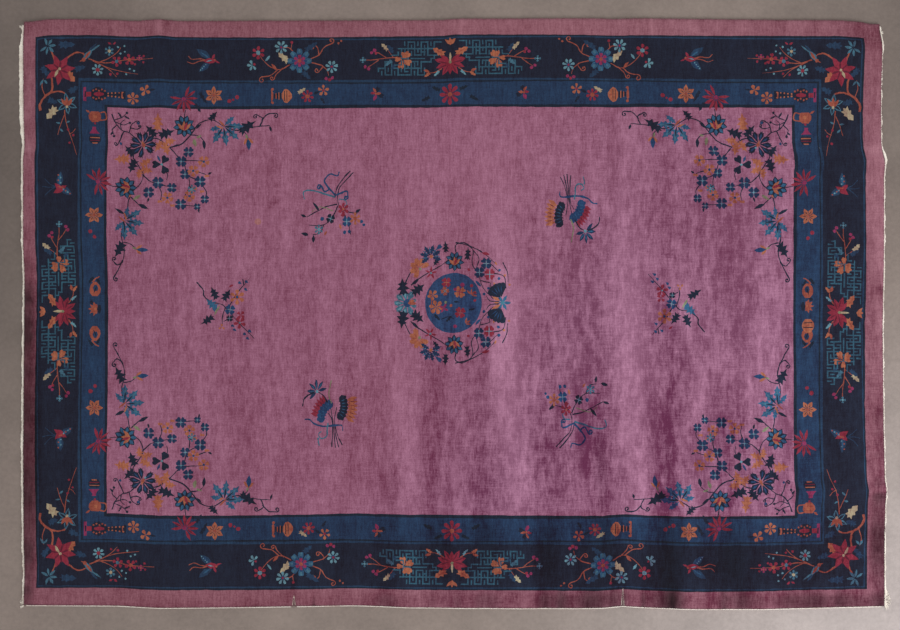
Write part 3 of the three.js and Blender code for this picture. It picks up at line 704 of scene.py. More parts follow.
for at in (21.4+37.4j, 40.6+26.6j, 26.4+38.8j, 38.6+33j, 35.6+31.6j):
    field_corner += leaves("ochre", "leaf", (at - 0.9, at + 0.9j, 1.3), (at + 0.9, at + 0.8j, 1.1))
field_corner += leaves("ink", "leaf", (33.2+31j, 35+32.8j, 0.9), (41+26.4j, 42.6+25.4j, 0.9),
    (37.2+40.4j, 37.4+42.2j, 0.9), (16.8+36j, 16.2+38j, 0.9))
field_corner += bloom("teal", 34.4+32.4j, 1.8, 6, "sky")
design += mirrored(field_corner, 141.0+83.6j)


# Loose sprays of the field.
# Three cut sprays lie on each half of the field, and the other half has the same three turned half round:
# a plum twig at the end, a twig tied with a ribbon, and a posy of half flowers. Measured from their middles.
plum_twig = (
    stem("ink", 0.6, 11.4+12.8j, 8.8+9.6j, 8.4+7j, 5+4.4j, 1+3.6j, -2+0.6j, -6.4-4.4j, -12.4-10.6j, tip=0.5)
    + stem("ink", 0.5, -0.4+2.4j, 0.8-2j, 0.6-5.4j) + stem("ink", 0.5, -1.6+2j, -5+8j, -10.4+14.4j, tip=0.4)
    + stems("ink", (0.48, -3.4-1.4j, 0.4-3.6j), (0.48, -8+11.4j, -7.4+14j))
    + leaves("ink", "lobed", (4.2-1.2j, 9.8-4.6j, 3.6), (0.6+5j, -2.4+9.8j, 3.6), (3+5.6j, 5.6+11j, 3.6))
    + leaf("azure", 3.2+2j, 7.6+5.8j, 3.8, "lobed") + leaf("azure", 3+3.8j, 4.4+0.4j, 1.4)
    + leaf("sage", 1.8+3.4j, 4.2-0.8j, 0.9, "slim") + blossom("deep", "sky", -2.4+1.4j, 2, 10)
    + blossom("ink", "sky", -2.2-2.2j, 1.3) + bloom("ochre", -5.2+6.6j, 3.1, 6, "coral")
    + dot("deep", -5.2+6.6j, 0.6, 6) + fan("crimson", -6.4-4j, 2.5, 5, 1.5, 60, 360, "round")
    + fan("crimson", -6.8-0.8j, 1.8, 4, 1.3, 40, 360, "round") + dot("sky", -6.4-4j, 0.4, 6)
    + fan("ochre", 1-5.8j, 1.4, 3, 0.9, 90, 360, "round") + leaf("crimson", -3.6+11.8j, -1.8+10.6j, 0.9)
)
for at in (-8.6-8.8j, -10.6-7.6j, -9.8-10.6j, -3.6-5.4j, -4.4-7j, -8.8+9.6j, -6.4+12.4j, -9+12.8j):
    plum_twig += leaf("deep", at - 0.7 - 0.5j, at + 0.7 + 0.5j, 1.2, "round")

ribbon_twig = (
    stems("ink", (0.55, 10.2-12.8j, 6.6-9.4j, 3.6-6.4j, 2.6-2j, 3.4+1.4j),
        (0.55, 8.6-13.4j, 5-9.8j, 2.4-6.4j, 1.4-2.4j))
    + stem("deep", 0.9, 2-3j, -1.4-6.2j, -3.6-9.4j, -1-12j, 2.6-11.4j, 3.4-13.2j)
    + scroll("deep", 0.7, 1.2, -1.2-6j, -3.4-4.8j, -5-7.2j, hand=-1)
    + scroll("deep", 0.7, 1.1, 2.2-3.4j, 6.8-5j, 7.6-2.6j, hand=1)
    + stems("teal", (0.8, 1.4-2.6j, -4-4j, -9.4-5.4j, -13.4-4.8j, -13-1.8j),
        (0.6, 3.4-1.6j, 6-1.4j, 7+0.6j, 5.2+1.2j))
    + stems("ink", (0.54, 2.4+0.4j, -2.6+1.4j, -6.4+3j, -12+5.6j),
        (0.54, 2.8+1j, 0.4+5.4j, -4+9j, -10.8+9j), (0.54, 3.2+1j, 7+3.4j, 12+4.4j),
        (0.5, -4+9j, -5.6+12.2j, -9+13j), (0.5, 4+2j, 7.6+8j, 8.8+13j))
    + stem("sage", 0.5, 0.6+3.2j, -5.6+1.4j, -9.6+3.6j)
    + leaves("ink", "leaf", (-6+3.2j, -9.2-0.6j, 1.4), (-11+13.2j, -14.6+12.2j, 1.6),
        (-8.6+13.2j, -9+16.4j, 1.5), (-12+5.6j, -15+4.6j, 1.1), (10.8+4.2j, 13.6+2.4j, 1.4))
    + bloom("teal", -6.2+10.8j, 2.1, 6, "sky") + blossom("ink", "sky", -0.6+6.4j, 1.9, 20)
    + blossom("deep", "sky", 7+7.6j, 2.1) + fan("crimson", 5.4+2.4j, 2.6, 6, 1.5, 90, 360, "round")
    + dot("ochre", 5.4+2.4j, 0.5, 6) + bloom("ochre", 11+6.4j, 2.6, 6, "coral")
    + leaf("crimson", 4+5j, 6.4+4.8j, 1.5) + leaf("ochre", 3.6+8.6j, 4.4+10.8j, 1.3)
    + leaf("coral", -2.4+11.4j, -3.8+13.2j, 1.2)
    + dots("deep", (14+7.6j, 0.8), (15+9j, 0.6), (6+12j, 0.8), (8.2+11.8j, 0.8), (-4.6+6.4j, 0.9))
)


def half_flower(at, facing, petal, cup, reach):
    """A flower seen from the side: pointed petals beyond a thick scalloped cup."""
    bow = at + 6.5 * np.exp(1j * np.radians(facing + np.linspace(-33, 33, 7)))
    return (
        fan(petal, at, reach, 7, 1.9, facing, 46, "pointed", 0.6)
        + fan("wine", at, 0.9 * reach, 5, 0.35, facing, 34, "slim", 0.78) + run_of_knots(cup, bow, 3.3, 1)
        + dots(cup, (bow[0], 1.8), (bow[-1], 1.8)) + fan(cup, at, 8.7, 7, 1.7, facing, 70, "round", 0.7)
        + fan(cup, at, 6.4, 5, 1.6, facing, 60, "round", 0.66)
        + fan("azure", at, 7.8, 6, 0.3, facing, 56, "slim", 0.72)
    )


posy = (
    stems("ink", (0.52, -3-13.2j, -1.6-8j, -1-2j, -2+3.4j), (0.52, -1.4-13.4j, -0.8-7.6j, -0.2-2j, 1+3.4j),
        (0.52, 0.4-13j, -7.6j, 0.2-2j, 2+1j), (0.5, -4.6-12.2j, -2.4-8j, -1-3j))
    + stems("deep", (0.9, -2-4j, 3.6-4.5j, 8.5-3.5j, 11.2-1.6j, 13.6-1.4j),
        (0.8, -1.6-4j, -4.6-4.2j, -5-6.4j))
    + stems("teal", (0.8, 2.2-3j, 2.6-5.6j, 2.9-8.6j, 5.4-9.4j, 7-7.8j, 5.4-6.6j),
        (0.8, 7-9j, 7-10.8j, 6.4-12.4j)) + half_flower(1+4j, 188, "ochre", "ink", 13.6)
    + half_flower(-1-1.6j, 36, "crimson", "deep", 12)
    + stem("sage", 0.6, 0.4+5j, 1.8+8.4j, 1.2+12j, 0.6+14.6j)
    + stem("ink", 0.6, 2.4+5.4j, 4.6+8.4j, 7.2+9.8j)
    + fan("plum", 7.6+10.2j, 5, 6, 1.5, 62, 210, "slim", 0.1)
    + fan("azure", 7.6+10.2j, 4.2, 4, 0.6, 62, 130, "slim", 0.2) + dot("sky", 7.5+10j, 0.7)
    + stem("ink", 0.8, 8.6+9.6j, 11.4+8.8j, 14+6.8j, 14.6+4j)
)
# Each spray: its middle, minus one where it is turned half round, and how narrow it is.
SPRAYS = [
    (plum_twig, 93.2+4.9j, 1, 1), (plum_twig, -93.5, -1, 1), (ribbon_twig, -49.0+45.0j, 1, 0.87),
    (ribbon_twig, 52.0-42.4j, -1, 0.87), (posy, 48.8+43.2j, 1, 0.84), (posy, -48.8-42.8j, -1, 0.84),
]
for spray, at, half_turn, narrow in SPRAYS:
    design += moved(spray, lambda z: at + half_turn * (narrow * z.real - 1j * z.imag))


# The medallion.
# A round blue ground sown with small flowers, in a wreath of lilies, leaves and tendrils, mirrored front to
# back. Measured from its own middle, which is a little back of the rug's.
MEDALLION = 0.9+3.9j
DISC_RADIUS = 11.7
MEDALLION_STRETCH = 1.06
wreath = (
    stems("ink", (0.5, *[21.4 * np.exp(1j * math.radians(a)) for a in range(-168, -96, 12)]),
        (0.48, 19-1.4j, 16.6-2.4j, 15-5.2j, 15.2-7.6j), (0.44, 11.2-8.6j, 13.6-8j, 15.2-7.6j),
        (0.44, 20.2-15.6j, 22-12j, 22.4-8j),
        (0.48, *[(23.4 + 0.6 * math.sin(a)) * np.exp(1j * math.radians(a)) for a in range(-88, -30, 12)]),
        (0.48, -17.6-7j, -14.6-9.4j, -9.6-12.4j, -5.4-14.6j, -1.6-17.2j),
        (0.48, 1-19.6j, 1-22.4j, 4.4-23.2j, 8-20.4j, 7.6-15j, 10.2-11j, 12-6j, 16.4-1.4j),
        (0.44, 8-20.4j, 10.4-17.4j, 9.4-13.4j), (0.44, 16.4-11.4j, 20.6-10.2j, 21.6-5.6j),
        (0.42, 12.4-17.4j, 16-14.4j, 18.6-12j))
    + leaves("ink", "lobed", (-20.4-2.8j, -21.4-10j, 5), (-17.2-3.6j, -12-7.4j, 4.6))
    + leaf("ink", -17.4-7.2j, -14-9.8j, 1.3)
    + leaves("ink", "lobed", (-3-19.4j, -3.4-24.4j, 2.8), (5.6-16.4j, 6.2-21.8j, 2.8),
        (-6-17.6j, -8.4-14.4j, 2.2)) + leaf("deep", -7.4-20.6j, -4.8-22.6j, 1.8, "notched")
    + leaf("deep", 9-8.6j, 11.4-6.2j, 1.2) + fan("ochre", -14-13.6j, 4.2, 6, 2.2, 226, 215, "toothed", 0.06)
    + fan("coral", -14-13.6j, 3, 5, 0.4, 226, 170, "slim", 0.3) + dot("sage", -13.8-13.4j, 0.6)
    + fan("plum", -9.4-18.2j, 4.8, 6, 1.9, 262, 230, "feathered", 0.06)
    + fan("azure", -9.4-18.2j, 4, 5, 0.5, 262, 190, "slim", 0.3) + dot("ochre", -9.2-18.2j, 0.7)
    + rosette(0.4-16.2j, 4, -90) + fan("crimson", -9.4-11.8j, 2.7, 5, 0.8, 60, 360, "slim")
    + dot("sky", -9.4-11.8j, 0.5, 6) + blossom("plum", "sky", 10.6-11.8j, 2.1)
    + blossom("plum", "sky", 13.4-15.2j, 2.1) + blossom("crimson", "sky", 14.8-11j, 2.1)
    + leaf("crimson", 11.6-19.4j, 15-18.6j, 1.2)
    + leaves("ochre", "leaf", (17-16j, 17.8-14.4j, 0.8), (16.4-8j, 17.2-6.4j, 0.8))
    + dots("deep", (18.8-12.6j, 0.6), (18.6-9.4j, 0.6), (14.4-5.6j, 0.6))
    + dots("ochre", (21-10.6j, 0.5), (23-7j, 0.5), sides=6) + dot("crimson", 6.2-12.8j, 0.6)
    + dot("deep", 12.6-3.4j, 0.6) + fan("ink", 19.8-1.6j, 6.4, 5, 2.6, -118, 66, "round", 0.1)
    + fan("deep", 19.8-1.6j, 5.2, 4, 0.3, -118, 50, "slim", 0.45) + leaf("ochre", 19.2-0.8j, 15.8-2.4j, 1.3)
    + stem("ink", 0.44, 18.6-0.4j, 15-0.8j, 13.6-2.6j)
)
wreath_ends = (
    fan("teal", -19.2, 5.4, 7, 2.5, 180, 230, "toothed", 0.1)
    + fan("sky", -19.2, 4.8, 7, 0.8, 180, 230, "slim", 0.5)
    + fan("teal", -19, 4, 4, 1.5, 0, 130, "toothed", 0.1) + dot("deep", -19, 1.7)
    + leaf("coral", -18.8, -15.2, 1.8) + leaf("ochre", -18.4-0.8j, -15.8-1.2j, 0.8)
    + fan("azure", 20.2, 3.6, 6, 1.4, 0, 360, "pointed") + dot("teal", 20.2, 0.8)
    + leaf("ochre", 19, 16.6, 0.9)
)
DISC_SIDES = 48
disc = DISC_RADIUS * np.exp(2j * np.pi * np.arange(DISC_SIDES) / DISC_SIDES)
disc_flowers = [(disc.real + 1j * MEDALLION_STRETCH * disc.imag, "disc")]
disc_flowers += (
    blossom("ochre", "crimson", 2.6-4.4j, 2.2, 8) + blossom("crimson", "ochre", -3-8.6j, 1.9, 4)
    + blossom("coral", "sky", -3.6-5j, 1.6, 40) + blossom("crimson", "coral", 2.8+4j, 2.1, 12)
    + fan("ochre", -7+1.6j, 3, 6, 1.7, 70, 360, "round")
    + fan("ochre", -8.6-3.4j, 2.2, 5, 1.3, 90, 360, "round")
    + fan("magenta", -4+2j, 2.2, 4, 1.1, 120, 360, "leaf") + stem("coral", 0.4, -10-4.2j, -9-1j, -9.4+3j)
    + stem("ink", 0.4, -5+6.6j, -2+5.6j, 0.4+6.6j)
    + leaves("ink", "jagged", (-8+4.4j, -5.4+7j, 1.4), (-3+7.6j, -0.6+5.2j, 1.4), (6+3j, 9+2.4j, 1.2))
    + leaf("ink", -0.6j, 2.6-0.2j, 1.1) + fan("coral", 5+8.4j, 2.4, 3, 0.8, -30, 90, "slim")
    + fan("coral", 7.2-3.4j, 2.6, 4, 0.7, -60, 150, "slim") + dot("magenta", 3.6-7.4j, 0.9)
    + dot("crimson", 7.4-7j, 0.7) + dots("magenta", (0.6-5.6j, 0.7), (0.8+9.6j, 0.8))
    + dot("crimson", 8.8-1j, 0.6) + dot("sage", -3.2-0.4j, 0.6) + dot("coral", -1+1j, 0.6)
    + dot("crimson", 9-4j, 0.5)
)
design += moved(wreath_ends + disc_flowers, lambda z: MEDALLION + z.conj())
FADED_SPOT = -79.4+37.7j
design += dot("faded", FADED_SPOT, 1.4, 10)
for side in (-1, 1):
    design += moved(wreath, lambda z: MEDALLION + z.real + 1j * side * MEDALLION_STRETCH * z.imag)


# The weaver's hand.
# Each figure is knotted by eye, so that no two copies are quite alike. Thin lines waver less than leaves do.
HAND_WAVER = 0.07
WAVER_SHARE = 0.14


def signed_area(outline):
    return (outline.conj() * np.roll(outline, -1)).imag.sum() / 2


figures = design[len(GROUND):]
design = design[:len(GROUND)]
for outline, dye in figures:
    thickness = 2 * abs(signed_area(outline)) / abs(np.roll(outline, -1) - outline).sum()
    waver = rng.normal(0, 1, len(outline)) + 1j * rng.normal(0, 1, len(outline))
    design.append((outline + min(HAND_WAVER, WAVER_SHARE * thickness) * waver, dye))


# The splits at the front edge.
# Two short tears in the outer edge, where bare cotton foundation shows. Each is a notch in the outline, given
# by its place along the edge, half its mouth and its depth.
SPLITS = [(-64.9, 0.24, 3.4), (70.3, 0.2, 6.2)]
BARE_WIDTH = 0.5
BARE_END, BARE_TIP = 0.3, 1.2
for at, half_mouth, depth in SPLITS:
    mouth = half_mouth + BARE_WIDTH
    rises = PILE_FRONT + depth
    bare = [at - mouth + 1j * PILE_FRONT, at + mouth + 1j * PILE_FRONT, at + BARE_END + 1j * rises,
            at + 1j * (rises + BARE_TIP), at - BARE_END + 1j * rises]
    design.append((np.array(bare), "cotton"))


# The rug.
# One cut-pile cloth: the knots of the design stand a centimetre high on a cotton ground, and the pile rounds
# over at the edges. Only the larger figures show, flatter and paler, on its back.
KNOT_GRID = 2.8
GRID_ROW = 0.87
WELD = 1e-4
BACK_GRID = 5.0
EDGE_INSET = 0.4
EDGE_STEP = 1.6
# The rounded edge of the pile, from the top down: how far out and how high, in metres.
EDGE_ROUND = [(0.0017, 0.0095), (0.0033, 0.0070), (0.0040, 0.0045), (0.0036, 0.0020), (0.0016, 0.0004)]
SPLIT_SNUG = 0.2
SPLIT_NEAR = 0.01, 0.1
EDGE_LOWEST = 0.0002
BACK_SMALLEST = 9.0
MARK_STEP = 1.6
MARK_INSET = 2.0
# Strokes of painted sheen and shade, where the pile was brushed the other way and beside the creases: both
# ends, half width, and how much lighter.
PAINTED_SHEEN_MARKS = [
    (-85.7+66.8j, -90.4+60j, 0.7, -0.3), (-88+62j, -95+55j, 1.6, -0.14),
    (-90.5+51.4j, -82.5+54.6j, 0.8, 0.16), (-91+49j, -84+51.6j, 0.7, -0.14),
    (-72.3+52.4j, -72.5+48.6j, 0.7, -0.34), (-71+46.4j, -79.4+40j, 0.9, -0.3),
    (-69+44j, -77+36j, 1.0, 0.12), (-91.6+45.4j, -97.4+41.4j, 0.7, -0.2),
    (-92.6+39j, -98+37j, 0.7, -0.16), (-89.4+41j, -89.6+38.6j, 0.7, -0.22),
    (-61+64j, -63.2+58.6j, 0.6, -0.2), (-80+64j, -86+55j, 0.9, 0.1), (-104+47j, -97+54j, 0.9, 0.12),
    (-68+58j, -76+50j, 0.8, 0.1), (-84+30j, -76+38j, 0.9, -0.12), (26+62j, 33+64j, 1.0, -0.26),
    (34+64j, 45+71j, 0.9, -0.2), (22+56j, 26+66j, 0.8, -0.2), (62+52j, 70+51j, 0.9, -0.16),
    (24+40j, 36+38j, 1.0, -0.16), (88+60j, 104+58j, 1.2, -0.16), (30+38j, 52+35j, 0.9, -0.2),
    (44+24j, 57+27j, 0.8, -0.2), (56+30j, 58+18j, 0.9, -0.24), (98+34j, 108+32j, 1.0, -0.18),
    (120+22j, 127+20j, 0.9, -0.16), (84+16j, 92+21j, 0.8, -0.14), (3.8+121j, 3.4+111j, 0.8, 0.3),
    (2+121j, 1.7+112j, 0.7, -0.26), (82+121j, 81.8+111j, 0.8, 0.28), (80.2+121j, 80.1+112j, 0.7, -0.24),
    (-120.4+121j, -120.2+112j, 1.1, 0.3), (-118.4+121j, -118.3+113j, 0.8, -0.2),
    (-150+121j, -149+112j, 0.8, -0.16), (-56.7-121j, -56.9-112j, 0.8, -0.24),
    (78-121j, 77.8-111j, 0.9, -0.24), (178+12j, 172+11.6j, 1.2, 0.3), (178+9.4j, 172+9j, 1.0, -0.34),
    (178-72j, 171-72j, 1.2, 0.2), (178-75j, 171-75j, 1.2, -0.24), (-176+67j, -170+66.6j, 1.0, 0.24),
    (-176+64.8j, -170+64.6j, 0.9, -0.2), (-43-60j, -42.6-77j, 0.9, -0.24),
    (-29-30j, -28.6-52j, 1.0, -0.18), (-24-64j, -23.8-80j, 0.8, -0.2), (17.6-28j, 17.2-60j, 1.0, -0.18),
    (32-36j, 31.6-66j, 0.9, -0.18), (24-44j, 36-43j, 0.8, 0.14),
]


def pile_outline():
    """The top of the pile's edge, in the design's centimetres, with the splits cut in."""
    front = PILE_FRONT + EDGE_INSET
    left, right, back = PILE_LEFT + EDGE_INSET, PILE_RIGHT - EDGE_INSET, PILE_BACK - EDGE_INSET
    corners = [left + 1j * front]
    for at, half_mouth, depth in SPLITS:
        end = at + 1j * (PILE_FRONT + depth)
        corners += [at - half_mouth + 1j * front, end, at + half_mouth + 1j * front]
    corners += [right + 1j * front, right + 1j * back, left + 1j * back]
    return straight(corners, EDGE_STEP)


def within(outline, spots):
    """Whether points are inside an outline, also one that crosses itself."""
    turns = np.zeros(len(spots), int)
    for start, end in zip(outline, np.roll(outline, -1)):
        aside = ((end - start).conjugate() * (spots - start)).imag
        turns += (start.imag <= spots.imag) & (spots.imag < end.imag) & (aside > 0)
        turns -= (end.imag <= spots.imag) & (spots.imag < start.imag) & (aside < 0)
    return turns != 0


def woven(outline, shapes, grid, extra=()):
    """Points and triangles of a cloth with that outline, and the dye of each triangle."""
    outlines = [outline] + [shape for shape, _ in shapes]
    starts = np.cumsum([0] + [len(line) for line in outlines])
    edges = []
    for start, end in zip(starts, starts[1:]):
        edges += [(k, k + 1) for k in range(start, end - 1)] + [(end - 1, start)]
    columns = np.arange(outline.real.min() + grid / 2, outline.real.max() - grid, grid)
    rows = np.arange(outline.imag.min() + grid / 2, outline.imag.max() - grid / 3, grid * GRID_ROW)
    outlines += [columns + (k % 2) * grid / 2 + 1j * row for k, row in enumerate(rows)] + list(extra)
    corners = [Vector((z.real, z.imag)) for z in np.concatenate(outlines)]
    found = delaunay_2d_cdt(corners, edges, [], 0, WELD, False)
    places = np.array([complex(v.x, v.y) for v in found[0]])
    triangles = np.array(found[2])
    triangles = triangles[within(outline, places[triangles].mean(axis=1))]
    triangles = triangles[np.argsort(places[triangles].real.mean(axis=1))]
    middles = places[triangles].mean(axis=1)
    top = np.full(len(triangles), -1)
    for number, (shape, _) in enumerate(shapes):
        first, last = np.searchsorted(middles.real, (shape.real.min(), shape.real.max()))
        near = middles[first:last]
        near = first + np.flatnonzero((near.imag > shape.imag.min()) & (near.imag < shape.imag.max()))
        top[near[within(shape, middles[near])]] = number
    used, triangles = np.unique(triangles, return_inverse=True)
    return places[used], triangles.reshape(-1, 3), ["rose" if k < 0 else shapes[k][1] for k in top]


def rim_of(triangles):
    """The open edge of a sheet of triangles, in order, with the sheet on its left."""
    edges = np.concatenate([triangles[:, [0, 1]], triangles[:, [1, 2]], triangles[:, [2, 0]]])
    known = set(map(tuple, edges.tolist()))
    following = {a: b for a, b in known if (b, a) not in known}
    start = min(following)
    loop = [start]
    while following[loop[-1]] != start:
        loop.append(following[loop[-1]])
    return np.array(loop)


mark_spots = []
for start, end, half, _ in CREASES + PAINTED_SHEEN_MARKS:
    run = end - start
    line = start + run * np.linspace(0, 1, max(2, round(abs(run) / MARK_STEP)))
    for aside in (-half, 0, half):
        mark_spots.append(line + 1j * aside * run / abs(run))
mark_spots = np.concatenate(mark_spots)
well_inside = (mark_spots.real > PILE_LEFT + MARK_INSET) & (mark_spots.real < PILE_RIGHT - MARK_INSET)
well_inside &= (mark_spots.imag > PILE_FRONT + MARK_INSET) & (mark_spots.imag < PILE_BACK - MARK_INSET)
mark_spots = mark_spots[well_inside]
face_spots, face_triangles, face_dyes = woven(pile_outline(), design, KNOT_GRID, [mark_spots])
rim = rim_of(face_triangles)
rim_spots = face_spots[rim]
back_design = [shape for shape in design[:-len(SPLITS)] if abs(signed_area(shape[0])) > BACK_SMALLEST]
back_spots, back_triangles, back_dyes = woven(rim_spots, back_design, BACK_GRID)

face_x, face_y = laid(face_spots)
face_lift = read_field(lift_field, face_x, face_y)
face_crease = crease_height(face_spots)
places = [np.stack([face_x, face_y, face_lift + PILE_THICK + face_crease], axis=1)]

rim_xy = (face_x + 1j * face_y)[rim]
rim_run = np.roll(rim_xy, -1) - np.roll(rim_xy, 1)
rim_out = -1j * rim_run / abs(rim_run)
in_split = np.zeros(len(rim), bool)
for at, half_mouth, depth in SPLITS:
    beside = abs(rim_spots.real - at) < half_mouth + SPLIT_NEAR[0]
    in_split |= beside & (rim_spots.imag < PILE_FRONT + depth + SPLIT_NEAR[1])
reach = np.where(in_split, SPLIT_SNUG, 1.0)
for out, up in EDGE_ROUND:
    ring = rim_xy + rim_out * reach * out
    height = face_lift[rim] + up + face_crease[rim] * up / PILE_THICK
    places.append(np.stack([ring.real, ring.imag, np.maximum(height, EDGE_LOWEST)], axis=1))

back_x, back_y = laid(back_spots)
back_height = read_field(lift_field, back_x, back_y) + crease_height(back_spots)
places.append(np.stack([back_x, back_y, np.maximum(back_height, 0)], axis=1))
last_ring = len(face_spots) + (len(EDGE_ROUND) - 1) * len(rim)
back_ids = last_ring + len(rim) + np.arange(len(back_spots))
under_rim = rim_of(back_triangles)
back_ids[under_rim] = last_ring + abs(back_spots[under_rim][:, None] - rim_spots[None, :]).argmin(axis=1)

sides = []
side_steps = []
upper = rim
for ring in range(len(EDGE_ROUND)):
    lower = len(face_spots) + ring * len(rim) + np.arange(len(rim))
    lower_next, upper_next = np.roll(lower, -1), np.roll(upper, -1)
    for corner, ends in enumerate(((lower, lower_next), (lower_next, upper_next))):
        sides.append(np.stack([upper, *ends], axis=1))
        side_steps.append((ring, corner))
    upper = lower

# Its picture: the face along the whole width, and the back and six lengths of edge below it.
PICTURE_RIM = 0.01
FACE_CORNER = (PICTURE_RIM, 0.315)
BACK_CORNER = (PICTURE_RIM, PICTURE_RIM)
FACE_SCALE = (1 - 2 * PICTURE_RIM) / (PILE_RIGHT - PILE_LEFT)
BACK_SHARE = 0.41
EDGE_STRIPS = 6
STRIP_START, STRIP_LENGTH = 0.45, 0.53
STRIP_PITCH, STRIP_ROW = 0.047, 0.0065


def on_picture(spots, scale, corner):
    low = PILE_LEFT + 1j * PILE_FRONT
    flat = (spots - low) * scale
    return np.stack([corner[0] + flat.real, corner[1] + flat.imag], axis=1)


face_picture = on_picture(face_spots, FACE_SCALE, FACE_CORNER)[face_triangles]
back_picture = on_picture(back_spots, FACE_SCALE * BACK_SHARE, BACK_CORNER)[back_triangles[:, ::-1]]
rim_share = np.linspace(0, EDGE_STRIPS, len(rim), endpoint=False)
strip = np.floor(rim_share)
strip_step = EDGE_STRIPS / len(rim)
side_picture = []
for ring, corner in side_steps:
    near = STRIP_START + (rim_share - strip) * STRIP_LENGTH
    far = near + strip_step * STRIP_LENGTH
    top = PICTURE_RIM + strip * STRIP_PITCH + ring * STRIP_ROW
    low = top + STRIP_ROW
    across = (near, near, far) if corner == 0 else (near, far, far)
    down = (top, low, low) if corner == 0 else (top, low, top)
    side_picture.append(np.stack([np.stack(across, axis=1), np.stack(down, axis=1)], axis=2))

rug_mesh = bpy.data.meshes.new("rug_cloth")
rug_faces = np.concatenate([face_triangles, *sides, back_ids[back_triangles[:, ::-1]]])
kept, rug_faces = np.unique(rug_faces, return_inverse=True)
rug_faces = rug_faces.reshape(-1, 3)
rug_places = np.concatenate(places)[kept]
rug_mesh.from_pydata(rug_places.tolist(), [], rug_faces.tolist())
side_dyes = np.where(in_split, "cotton", "rose").tolist() * len(sides)
dye_colours = np.array([(*DYES[dye], 1) for dye in face_dyes + side_dyes + back_dyes], np.float32)
dye_layer = rug_mesh.color_attributes.new("dye", "FLOAT_COLOR", "CORNER")
dye_layer.data.foreach_set("color", np.repeat(dye_colours, 3, axis=0).ravel())
picture_layer = rug_mesh.uv_layers.new(name="OFBake")
picture = np.concatenate([face_picture, *side_picture, back_picture]).astype(np.float32)
picture_layer.data.foreach_set("uv", picture.ravel())
back_layer = rug_mesh.attributes.new("back", "FLOAT", "FACE")
is_back = np.zeros(len(rug_faces), np.float32)
is_back[len(face_triangles) + sum(map(len, sides)):] = 1
back_layer.data.foreach_set("value", is_back)


# How the pile lies, and the light and shade painted on it.
# It is painted lighter on a crest and darker in a trough, lighter on slopes that face the key light, and in
# columns across the edges, where it was brushed one way or the other, as painted sheen. Stretches are painted
# lighter or darker as light and shade, and the field carries the most wear and painted sheen.
# Painted light on ripple crests and on slopes that face the key light, painted shade in troughs, and both
# along the creases.
PAINTED_CREST_LIGHT = 130
CREST_LEAST, CREST_MOST = -0.3, 0.34
PAINTED_SLOPE_LIGHT = 1.6
PAINTED_CREASE_LIGHT = 80
COLUMN_NARROW, COLUMN_WIDE = 1.5, 6
COLUMN_COUNT, COLUMN_START = 110, -190
# Columns of painted sheen and shade on each edge: where they begin, where they are full, and how much they
# differ.
EDGE_COLUMNS_OF_PAINTED_SHEEN = {
    "front": (-108, -114, 0.1), "back": (113.5, 115.5, 0.08), "left": (-170.6, -172.6, 0.08),
    "right": (170.4, 172.4, 0.06),
}
# At the front and back they grow to the right: from where, to where, and the least and most share.
FRONT_GROWS = (-80, -40, 0.4)
BACK_GROWS = (-120, 0, 0.3, 1.2)
slope_field = -np.gradient(lift_field, LIFT_CELL, axis=0)
painted_sheen_columns = {}
for edge, (_, _, spread) in EDGE_COLUMNS_OF_PAINTED_SHEEN.items():
    starts = np.cumsum(rng.uniform(COLUMN_NARROW, COLUMN_WIDE, COLUMN_COUNT)) + COLUMN_START
    painted_sheen_columns[edge] = (starts, rng.normal(0, spread, COLUMN_COUNT))
# Stretches of painted light and shade: middle, half length and half width in the design's centimetres, and
# how much lighter.
PAINTED_LIGHT_AND_SHADE_STRETCHES = [
    (-174-58j, 4.8, 74, -0.7), (-174+4j, 4.6, 18, -0.22), (175-92j, 5, 32, -0.58),
    (175-44j, 5, 18, -0.34), (174+44j, 5, 40, 0.3), (174.6+66j, 4.4, 5, 0.14),
    (174.6+19.5j, 4.4, 4, 0.12), (174.6+11j, 4.6, 5, -0.24), (172+116j, 14, 8, -0.32),
    (62-118.4j, 130, 5, -0.4), (150-118.4j, 28, 5, -0.26), (44-118.4j, 14, 5, -0.16),
    (-118-120.4j, 62, 1.6, -0.2), (-118+117j, 60, 5, -0.05), (55+117j, 80, 5, 0.17),
    (70-100j, 110, 13, -0.22), (120-104j, 40, 10, -0.12), (30-89j, 160, 5.5, -0.14),
    (118-16j, 12, 22, 0.1), (16+56j, 48, 28, 0.1), (52+2j, 28, 34, 0.12), (-10-56j, 26, 26, -0.06),
    (54-62j, 12, 22, -0.06), (90-62j, 60, 26, -0.09), (134-20j, 7, 46, 0.12), (22.4-20j, 4.8, 60, 0.15),
    (73-6j, 6, 52, 0.1), (46-10j, 8, 34, -0.08), (97-30j, 9, 26, -0.05), (-15.6-50j, 2.6, 34, 0.12),
    (-40-56j, 2.6, 30, -0.12), (-25-52j, 2.4, 30, -0.1), (-4.8-48j, 8, 36, -0.08),
]


def eased(values, start, end, low=0, high=1):
    """A share that goes from nought at the start to one at the end, held between a low and a high."""
    return np.clip((values - start) / (end - start), low, high)


# Painted sheen and shade in columns across one edge.
def painted_sheen_across(edge, out, along):
    start, full, _ = EDGE_COLUMNS_OF_PAINTED_SHEEN[edge]
    return eased(out, start, full) * np.interp(along, *painted_sheen_columns[edge])


